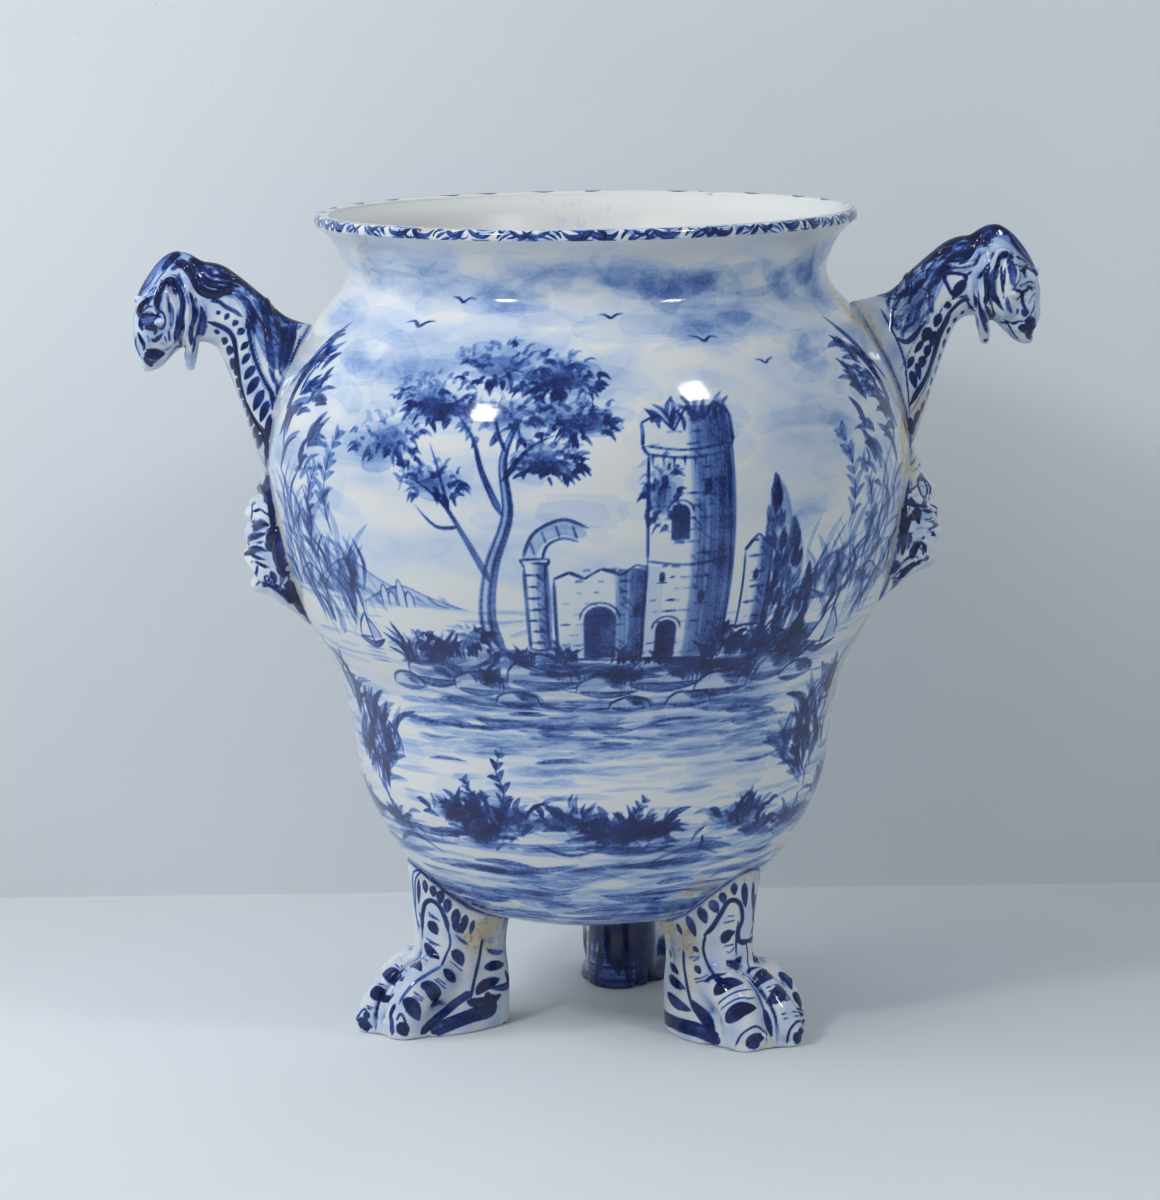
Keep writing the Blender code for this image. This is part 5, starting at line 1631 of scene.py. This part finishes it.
class VASE_OT_masks(bpy.types.Operator):
    """Model and paint the two relief masks"""

    bl_idname = "vase.masks"
    bl_label = "Masks"

    def execute(self, context):
        glaze = tin_glaze("Tin glaze, painted masks", thick=0.08)
        for side, name in ((-1, "left_mask"), (1, "right_mask")):
            lift = RIGHT_LIFT if side > 0 else 0.0
            middle = (side * MASK_PLACE[0], 0.0, MASK_PLACE[1] + lift)
            clay = Clay(name, np.diag([side, 1, 1]), middle, settings().clay_grain / MM, 4)
            carve(clay, MASK_RELIEF)
            clay.ground(0.12, 4.0, 17 + side)
            clay.pool_and_shade_hollows(0.85)
            clay.lute(0.8)
            clay.slip((-6, 0, 30), 34, 1.0 if side > 0 else 0.4)
            clay.slip((-14, 0, -44), 26, 0.8 if side > 0 else 0.4)
            paint_flanks(clay, LEFT_MASK_PAINT if side < 0 else RIGHT_MASK_PAINT)
            dress(clay.piece(name + "_skin", glaze), name)
        return {"FINISHED"}


# The bearings that the feet point along, in degrees from +X
FOOT_BEARINGS = {"front_left_foot": 195.0, "front_right_foot": 324.0, "back_foot": 78.0}

# Where the toes begin, out from the vase's axis
TOES_FROM = 112

# Forms of a paw, as relief marks on its own axes: out, across and up
PAW_RELIEF = mark_table("""
line 5 -200 112,8,50 125,10.5,42 140,11,22 143,11,3
line 3.5 -90 112,8,50 112,9,62 113,8,75
leaf 9 120 115,15,46 115,25,44
leaf 9 120 129,16,33 129,26,32
leaf 7 120 137,17,9 137,24,9
leaf 9 60 127,-6,46 127,6,46
leaf 9 60 141,-6,33 141,6,33
leaf 7 60 150,-4,9 150,4,9
""")

RIGHT_FOOT_PAINT = mark_table("""
line 1.8 92 72,-22,73 79,-20,75 90,-15,81 99,-10,87 107,-3,95 114,5,103 117,11,106
leaf 4 90 79,-23,72 82,-25,64
leaf 6 85 88,-26,78 92,-25,64
leaf 6.2 85 97,-26,84 100,-24,73
leaf 6.4 85 104,-24,89 107,-21,80
leaf 5 88 109,-20,94 110,-18,86
leaf 5 88 114,-14,99 114,-13,91
leaf 5.6 88 117,-7,98 116,-4,82
leaf 4.6 88 118,2,97 116,5,78
leaf 5.6 70 116,6,88 114,9,79 113,8,70 115,2,63
leaf 3.6 85 117,11,106 113,16,99 115,10,92
line 1.4 85 117,11,106 116,11,98 114,10,83 113,9,70 113,8,62
line 3 92 97,-21,66 102,-20,71 107,-18,80 111,-16,87 113,-12,88 115,-8,84 115,-6,75 113,-8,69 113,-8,63
  114,-4,60 114,6,62
line 1.8 92 98,-21,66 96,-21,57 99,-20,47 108,-26,43
leaf 4.6 93 107,-26,43 115,-29,41 122,-29,38
line 2.2 55 121,-13,38 128,-12,32 132,-13,26 133,-13,21
leaf 5 92 133,-13,23 136,-13,15 137,-10,6
line 1 80 115,-2,60 115,-1,50 120,-7,43
line 1.6 80 113,8,54 112,9,49 115,12,44
line 0.9 75 110,-15,78 112,-11,78
line 0.9 80 108,-16,74 113,-11,75
leaf 6.4 96 107,-16,61 109,-14,66 112,-10,68
line 0.9 80 107,-15,59 112,-10,60
line 0.9 70 108,-14,56 110,-13,55 111,-10,58
leaf 6 92 108,-14,50 112,-11,47 114,-6,52
line 0.9 85 113,-19,46 115,-8,45
leaf 2.8 85 119,-12,43 119,-4,43 121,2,41
leaf 8.6 86 127,-10,37 124,2,39 127,6,40 131,8,38
leaf 6 50 127,-5,37 127,3,37 132,6,36
line 0.9 85 130,-5,33 133,3,33
line 0.9 85 131,-5,30 133,2,30
leaf 9.4 86 135,-9,24 134,0,27 141,5,25
leaf 5 60 135,-5,24 137,1,22 142,4,24
line 1 85 139,-1,17 145,3,18
line 1 80 140,0,15 146,3,16
line 1.5 90 148,-8,3 149,-7,11 152,-1,16 151,5,13 149,7,4
leaf 9.6 95 151,-3,2 154,-1,6 152,1,12
leaf 9 94 112,-27,33 118,-26,39 124,-20,39
line 0.9 85 115,-29,28 122,-25,33 127,-18,33
line 0.9 80 117,-30,25 124,-26,30 129,-19,30
leaf 9.6 95 121,-31,18 127,-28,25 132,-21,25
line 1.3 88 127,-32,4 131,-31,12 137,-26,16 140,-20,12 140,-17,5
leaf 10 97 134,-31,4 139,-26,8 141,-22,8
leaf 3.6 85 100,-27,39 107,-27,44 115,-24,46
leaf 3.8 90 89,-22,58 93,-21,55
line 0.9 75 86,-22,51 94,-21,52
line 0.9 75 89,-22,49 93,-21,51
leaf 4.4 92 90,-22,46 95,-22,42
line 1 75 90,-22,38 97,-24,40 102,-24,43
line 1 75 91,-23,36 100,-26,39 106,-28,39
leaf 7.2 90 125,17,38 130,20,34 133,20,28
leaf 7 93 134,19,26 136,23,22 138,23,16
line 1.2 90 135,16,18 140,21,17 139,27,14
line 1.2 90 136,16,16 141,21,15 140,27,12
line 1.8 92 139,15,3 141,17,11 143,22,14 140,27,11 138,29,3
leaf 8 95 142,20,2 144,22,6 142,24,11
line 3.8 86 131,12,39 137,9,33 140,10,30 145,8,23 147,6,17 148,6,6
line 2.2 94 82,-22,55 82,-22,46 84,-22,37 87,-23,26 89,-23,22
leaf 7.4 94 87,-23,25 93,-22,19 102,-25,13 111,-29,3
leaf 2.4 92 69,-17,52 71,-19,48
leaf 5 94 69,-17,44 73,-20,42 78,-21,39
leaf 6.4 94 68,-18,36 76,-21,33 84,-22,31
leaf 7.4 94 67,-17,25 76,-21,21 88,-23,18
flat 8.6 90 60,-11,9 76,-21,8 92,-26,8 102,-28,7 111,-29,4
""")

LEFT_FOOT_PAINT = mark_table("""
line 1.8 92 114,15,102 110,19,98 103,24,93 95,27,85 76,24,74
leaf 3.4 92 114,13,96 114,9,79
leaf 4.8 92 112,18,96 112,17,87
leaf 5 92 108,22,93 108,21,85
leaf 5.6 92 104,25,90 104,23,81
leaf 5.6 90 99,25,85 100,24,75
leaf 5.8 92 94,26,78 95,24,65
leaf 4.8 90 88,26,74 90,24,62
leaf 3.4 80 83,25,70 85,24,60
line 1.3 88 114,15,102 117,7,97 115,4,79 114,7,62
line 1.3 80 113,16,101 116,9,93 115,5,73 113,8,64
line 3 92 112,9,62 112,11,72 111,14,80 108,18,83 104,21,80 100,21,72 98,21,62
line 1.3 88 98,21,63 97,20,55 100,20,48 104,25,43
line 2.2 58 104,25,43 113,29,40 122,30,35 128,30,29 132,30,23
line 0.9 80 109,15,75 103,19,70
line 0.9 75 109,15,73 105,18,71
leaf 6.8 94 109,14,69 107,16,66 104,17,61
line 0.9 80 110,12,58 103,18,54
line 0.9 75 109,13,56 105,17,54
leaf 6 95 111,11,55 108,14,50 104,20,46
line 1 70 114,9,45 112,21,45
leaf 7.2 93 119,8,42 118,21,44 117,27,41
line 1 80 128,3,41 126,8,39
line 1 80 125,7,41 124,17,40
leaf 10 93 136,1,35 132,6,36 130,21,34
line 0.9 80 141,4,28 136,10,27
line 0.9 80 139,5,30 135,9,29
leaf 9.6 94 145,5,24 141,8,25 137,12,22
line 0.9 80 147,7,17 143,11,16
line 0.9 75 147,8,16 145,10,15
leaf 8.4 95 151,3,3 149,6,6 147,8,1
line 1.3 88 152,2,7 151,4,12 148,7,15 146,10,10
leaf 5.8 94 96,22,68 93,23,66 89,23,62
line 0.9 80 94,22,61 86,22,55
line 0.9 75 93,22,59 87,22,54
leaf 7 94 96,20,51 92,21,47 90,22,41
line 0.9 75 98,21,45 90,22,38
leaf 6.8 95 103,26,41 99,26,37 95,25,32
line 0.9 80 110,31,37 102,27,29
line 0.9 75 108,30,37 102,28,32
leaf 9.2 94 119,32,34 113,32,32 106,20,20
line 0.9 80 123,32,30 117,33,25
line 0.9 75 124,33,28 118,33,24
leaf 9.4 95 130,31,25 125,33,22 120,32,12
leaf 8.8 97 134,31,10 131,32,8 128,33,3
line 1.5 88 134,31,13 132,32,17 130,33,15 128,33,9
leaf 4 90 129,22,34 128,22,36 127,22,38
leaf 5 92 143,8,22 134,22,26 134,22,28
leaf 5 95 148,8,14 148,9,11 147,9,9
line 3.2 88 134,28,22 137,27,16 136,28,11 136,27,3
line 2 92 77,21,58 79,21,46 82,22,35 84,23,27 85,23,21
flat 5.2 86 86,23,24 94,22,19 104,25,13 112,28,8 118,30,4
leaf 7.6 92 82,22,23 76,21,28 65,16,30
leaf 7.6 92 88,23,19 77,21,17 64,16,20
leaf 6.4 85 76,21,39 70,18,39 61,12,38
flat 8.4 86 110,29,4 96,27,8 86,24,10 72,20,12 74,21,21
leaf 5 80 61,12,34 58,9,24 74,21,26
leaf 3.4 70 74,20,50 68,17,47 61,11,46
""")


def mirrored(path):
    """A path on the paw's other side."""
    return [(out, -across, up) for out, across, up in path]

# Tie a piece to the vase, and hide the solid that it stands for.

def is_flank(path):
    """Whether a path lies on the leg's side, behind the toes."""
    out, across, _ = np.mean(path, axis=0)
    return out < TOES_FROM and abs(across) > 10


def paint_paw(clay, marks):
    """Paint a paw, with the marks of its seen flank on its other flank too."""
    for form, width, load, path in marks:
        for way in ([path, mirrored(path)] if is_flank(path) else [path]):
            clay.brush(clay.near(way), width, load, form)


def streak_heel(clay, dark_and_shaded):
    """Uneven pulls of colour down a heel: dark and close on the back foot, where they also paint the shade it
    stands in, and thin on the others.
    """
    rng = np.random.default_rng(37)
    for _ in range(110 if dark_and_shaded else 26):
        across = rng.uniform(-32, 16) if dark_and_shaded else rng.choice((-1, 1)) * rng.uniform(6, 22)
        top = rng.uniform(30, 88) if dark_and_shaded else rng.uniform(52, 78)
        reach = rng.uniform(12, 40) if dark_and_shaded else rng.uniform(5, 12)
        slide = rng.normal(0, 3)
        out = 60 + abs(across) * 0.6
        path = [(out, across, top), (out, across + slide / 2, top - reach / 2),
                (out, across + slide, top - reach)]
        load = rng.uniform(0.35, 1.0) if dark_and_shaded else rng.uniform(0.1, 0.4)
        clay.brush(clay.near(path), rng.uniform(2.5, 8.0) if dark_and_shaded else rng.uniform(2.0, 5.0), load,
                   "leaf", 0.7)
    if not dark_and_shaded:
        return
    for height in (30, 44, 58, 72):
        clay.brush(clay.near([(64, 15, height + 2), (74, 25, height), (88, 29, height - 2)]), 7, 0.85,
                   "leaf", 0.4)
    # Dark bands round the back foot's sole: painted shade, darker towards the floor
    for height, width, load in ((8, 15, 0.8), (20, 7, 0.6)):
        sole = [(90, -29, height), (68, -22, height), (60, 0, height), (68, 22, height), (90, 29, height)]
        clay.brush(clay.near(sole), width, load, "flat", 0.5)


class VASE_OT_feet(bpy.types.Operator):
    """Model and paint the three paw feet"""

    bl_idname = "vase.feet"
    bl_label = "Feet"

    def execute(self, context):
        glaze = tin_glaze("Tin glaze, painted feet", thick=0.08)
        for name, bearing in FOOT_BEARINGS.items():
            turned = Matrix.Rotation(math.radians(bearing), 3, "Z")
            clay = Clay(name, turned, (0.0, 0.0, 0.0), settings().clay_grain / MM, 5)
            for form, width, height, path in PAW_RELIEF:
                clay.press(clay.near(path), width, height, form)
                clay.press(clay.near(mirrored(path)), width, height, form)
            clay.refresh()
            # The back foot's heavy ground is dark paint and painted shade, since it stands in the shadow
            # under the vase
            clay.ground(0.62 if name == "back_foot" else 0.1, 14.0 if name == "back_foot" else 5.0, 27)
            clay.pool_and_shade_hollows(0.7)
            clay.lute(0.9)
            for across in (-22, 22):
                clay.slip((76, across, 66), 26, 0.85)
                clay.slip((84, across, 40), 18, 0.4)
            streak_heel(clay, name == "back_foot")
            marks = LEFT_FOOT_PAINT if name == "front_left_foot" else RIGHT_FOOT_PAINT
            if name == "back_foot":
                # The back leg is one dark wash, partly painted shade, with marks on its toes only
                marks = [mark for mark in marks if np.mean(mark[3], axis=0)[0] > TOES_FROM]
            paint_paw(clay, marks)
            dress(clay.piece(name + "_skin", glaze), name)
        return {"FINISHED"}


class VASE_OT_stage(bpy.types.Operator):
    """Set the floor, the backdrop, the lamps and the camera"""

    bl_idname = "vase.stage"
    bl_label = "Stage"

    def execute(self, context):
        backdrop()
        lamps()
        camera()
        return {"FINISHED"}


FLOOR_DEPTH = 0.33
SWEEP_RADIUS = 0.002
BACKDROP_WIDTH = 60.0
BACKDROP_HEIGHT = 4.0
FLOOR_END = 30.0


def backdrop():
    """A pale floor that turns up into a plain wall, and the same floor again behind the wall."""
    turns = [math.pi / 2 * step / 8 for step in range(9)]
    profile = [(-FLOOR_END, 0.0)]
    for turn in turns:
        depth = FLOOR_DEPTH - SWEEP_RADIUS + SWEEP_RADIUS * math.sin(turn)
        profile.append((depth, SWEEP_RADIUS - SWEEP_RADIUS * math.cos(turn)))
    profile += [(FLOOR_DEPTH, BACKDROP_HEIGHT)]
    half = BACKDROP_WIDTH / 2
    emulsion = studio_paint("Matt studio paint", "#dee3e7", "#d5dade")
    behind = [(FLOOR_DEPTH, 0.0), (FLOOR_END, 0.0)]
    for name, edge in (("studio_sweep", profile), ("studio_floor_behind", behind)):
        places = [(x, y, z) for y, z in edge for x in (-half, half)]
        faces = np.array([(2 * i, 2 * i + 1, 2 * i + 3, 2 * i + 2) for i in range(len(edge) - 1)])
        new_piece(name, places, faces, emulsion)


def lamp(name, place, aim, size, power, reflected=True):
    """A soft box that faces a point. One that isn't reflected leaves no bright spot on the glaze."""
    data = bpy.data.lights.new(name, "AREA")
    data.shape = "RECTANGLE"
    data.size, data.size_y = size
    data.energy = power
    item = bpy.data.objects.new(name, data)
    item.visible_glossy = reflected
    item.location = place
    item.rotation_euler = (Vector(aim) - Vector(place)).to_track_quat("-Z", "Y").to_euler()
    bpy.context.scene.collection.objects.link(item)


def polar(bearing, lift, distance):
    """A place around the vase: degrees right of the camera's side, degrees up, metres away."""
    turned, raised = math.radians(bearing), math.radians(lift)
    return (distance * math.sin(turned) * math.cos(raised), -distance * math.cos(turned) * math.cos(raised),
            0.35 + distance * math.sin(raised))


def lamps():
    """Two small soft boxes beside the camera, a broad one over the backdrop, and an even studio sky."""
    lamp("left_soft_box", polar(-40.5, 34.5, 2.0), (0, 0, 0.3), (0.26, 0.26), 7.2)
    lamp("right_soft_box", polar(46, 43, 2.0), (0, 0, 0.3), (0.25, 0.25), 5.3)
    lamp("backdrop_light", (-1.3, -0.52, 1.6), (0.28, FLOOR_DEPTH, 0.34), (1.6, 0.8), 17.2, False)
    world = bpy.data.worlds.new("Studio")
    world.use_nodes = True
    tree = world.node_tree
    tree.nodes["Background"].inputs["Color"].default_value = linear("#e2e8ec")
    tree.nodes["Background"].inputs["Strength"].default_value = 0.46
    bpy.context.scene.world = world


# The camera stands a little right of the vase's axis, looks down on it and leans a little
CAMERA_PLACE = (-0.0064, -2.667, 0.694)
CAMERA_DOWN = 9.24
CAMERA_LEAN = 0.75
CAMERA_LENS = 132.0


def camera():
    """The camera at the photograph's angle."""
    data = bpy.data.cameras.new("camera")
    data.lens = CAMERA_LENS
    data.sensor_width = 36.0
    data.sensor_fit = "AUTO"
    data.clip_end = 50.0
    item = bpy.data.objects.new("camera", data)
    tilt = Matrix.Rotation(math.radians(90 - CAMERA_DOWN), 4, "X")
    lean = Matrix.Rotation(math.radians(-CAMERA_LEAN), 4, "Z")
    item.matrix_world = Matrix.Translation(CAMERA_PLACE) @ tilt @ lean
    bpy.context.scene.collection.objects.link(item)
    bpy.context.scene.camera = item


class VASE_PT_panel(bpy.types.Panel):
    """The vase's sizes and its pieces"""

    bl_label = "Vase"
    bl_space_type = "VIEW_3D"
    bl_region_type = "UI"
    bl_category = "Vase"

    def draw(self, context):
        chosen = context.scene.painted_vase
        for label in chosen.bl_rna.properties.keys():
            if label not in {"rna_type", "name"}:
                self.layout.prop(chosen, label)
        for operator in OPERATORS:
            self.layout.operator(operator.bl_idname)


OPERATORS = (VASE_OT_wall, VASE_OT_rim, VASE_OT_bore, VASE_OT_handles, VASE_OT_masks, VASE_OT_feet,
             VASE_OT_stage)


def register():
    """Add the settings, the operators and the panel."""
    for item in (VaseSettings, *OPERATORS, VASE_PT_panel):
        bpy.utils.register_class(item)
    bpy.types.Scene.painted_vase = bpy.props.PointerProperty(type=VaseSettings)


def unregister():
    """Take the settings, the operators and the panel away."""
    del bpy.types.Scene.painted_vase
    for item in (VASE_PT_panel, *reversed(OPERATORS), VaseSettings):
        bpy.utils.unregister_class(item)


def main():
    """Build every piece in order, then set the Standard view transform."""
    register()
    bpy.ops.vase.wall()
    bpy.ops.vase.rim()
    bpy.ops.vase.bore()
    bpy.ops.vase.handles()
    bpy.ops.vase.masks()
    bpy.ops.vase.feet()
    bpy.ops.vase.stage()
    bpy.context.scene.view_settings.view_transform = "Standard"


if __name__ == "__main__":
    main()
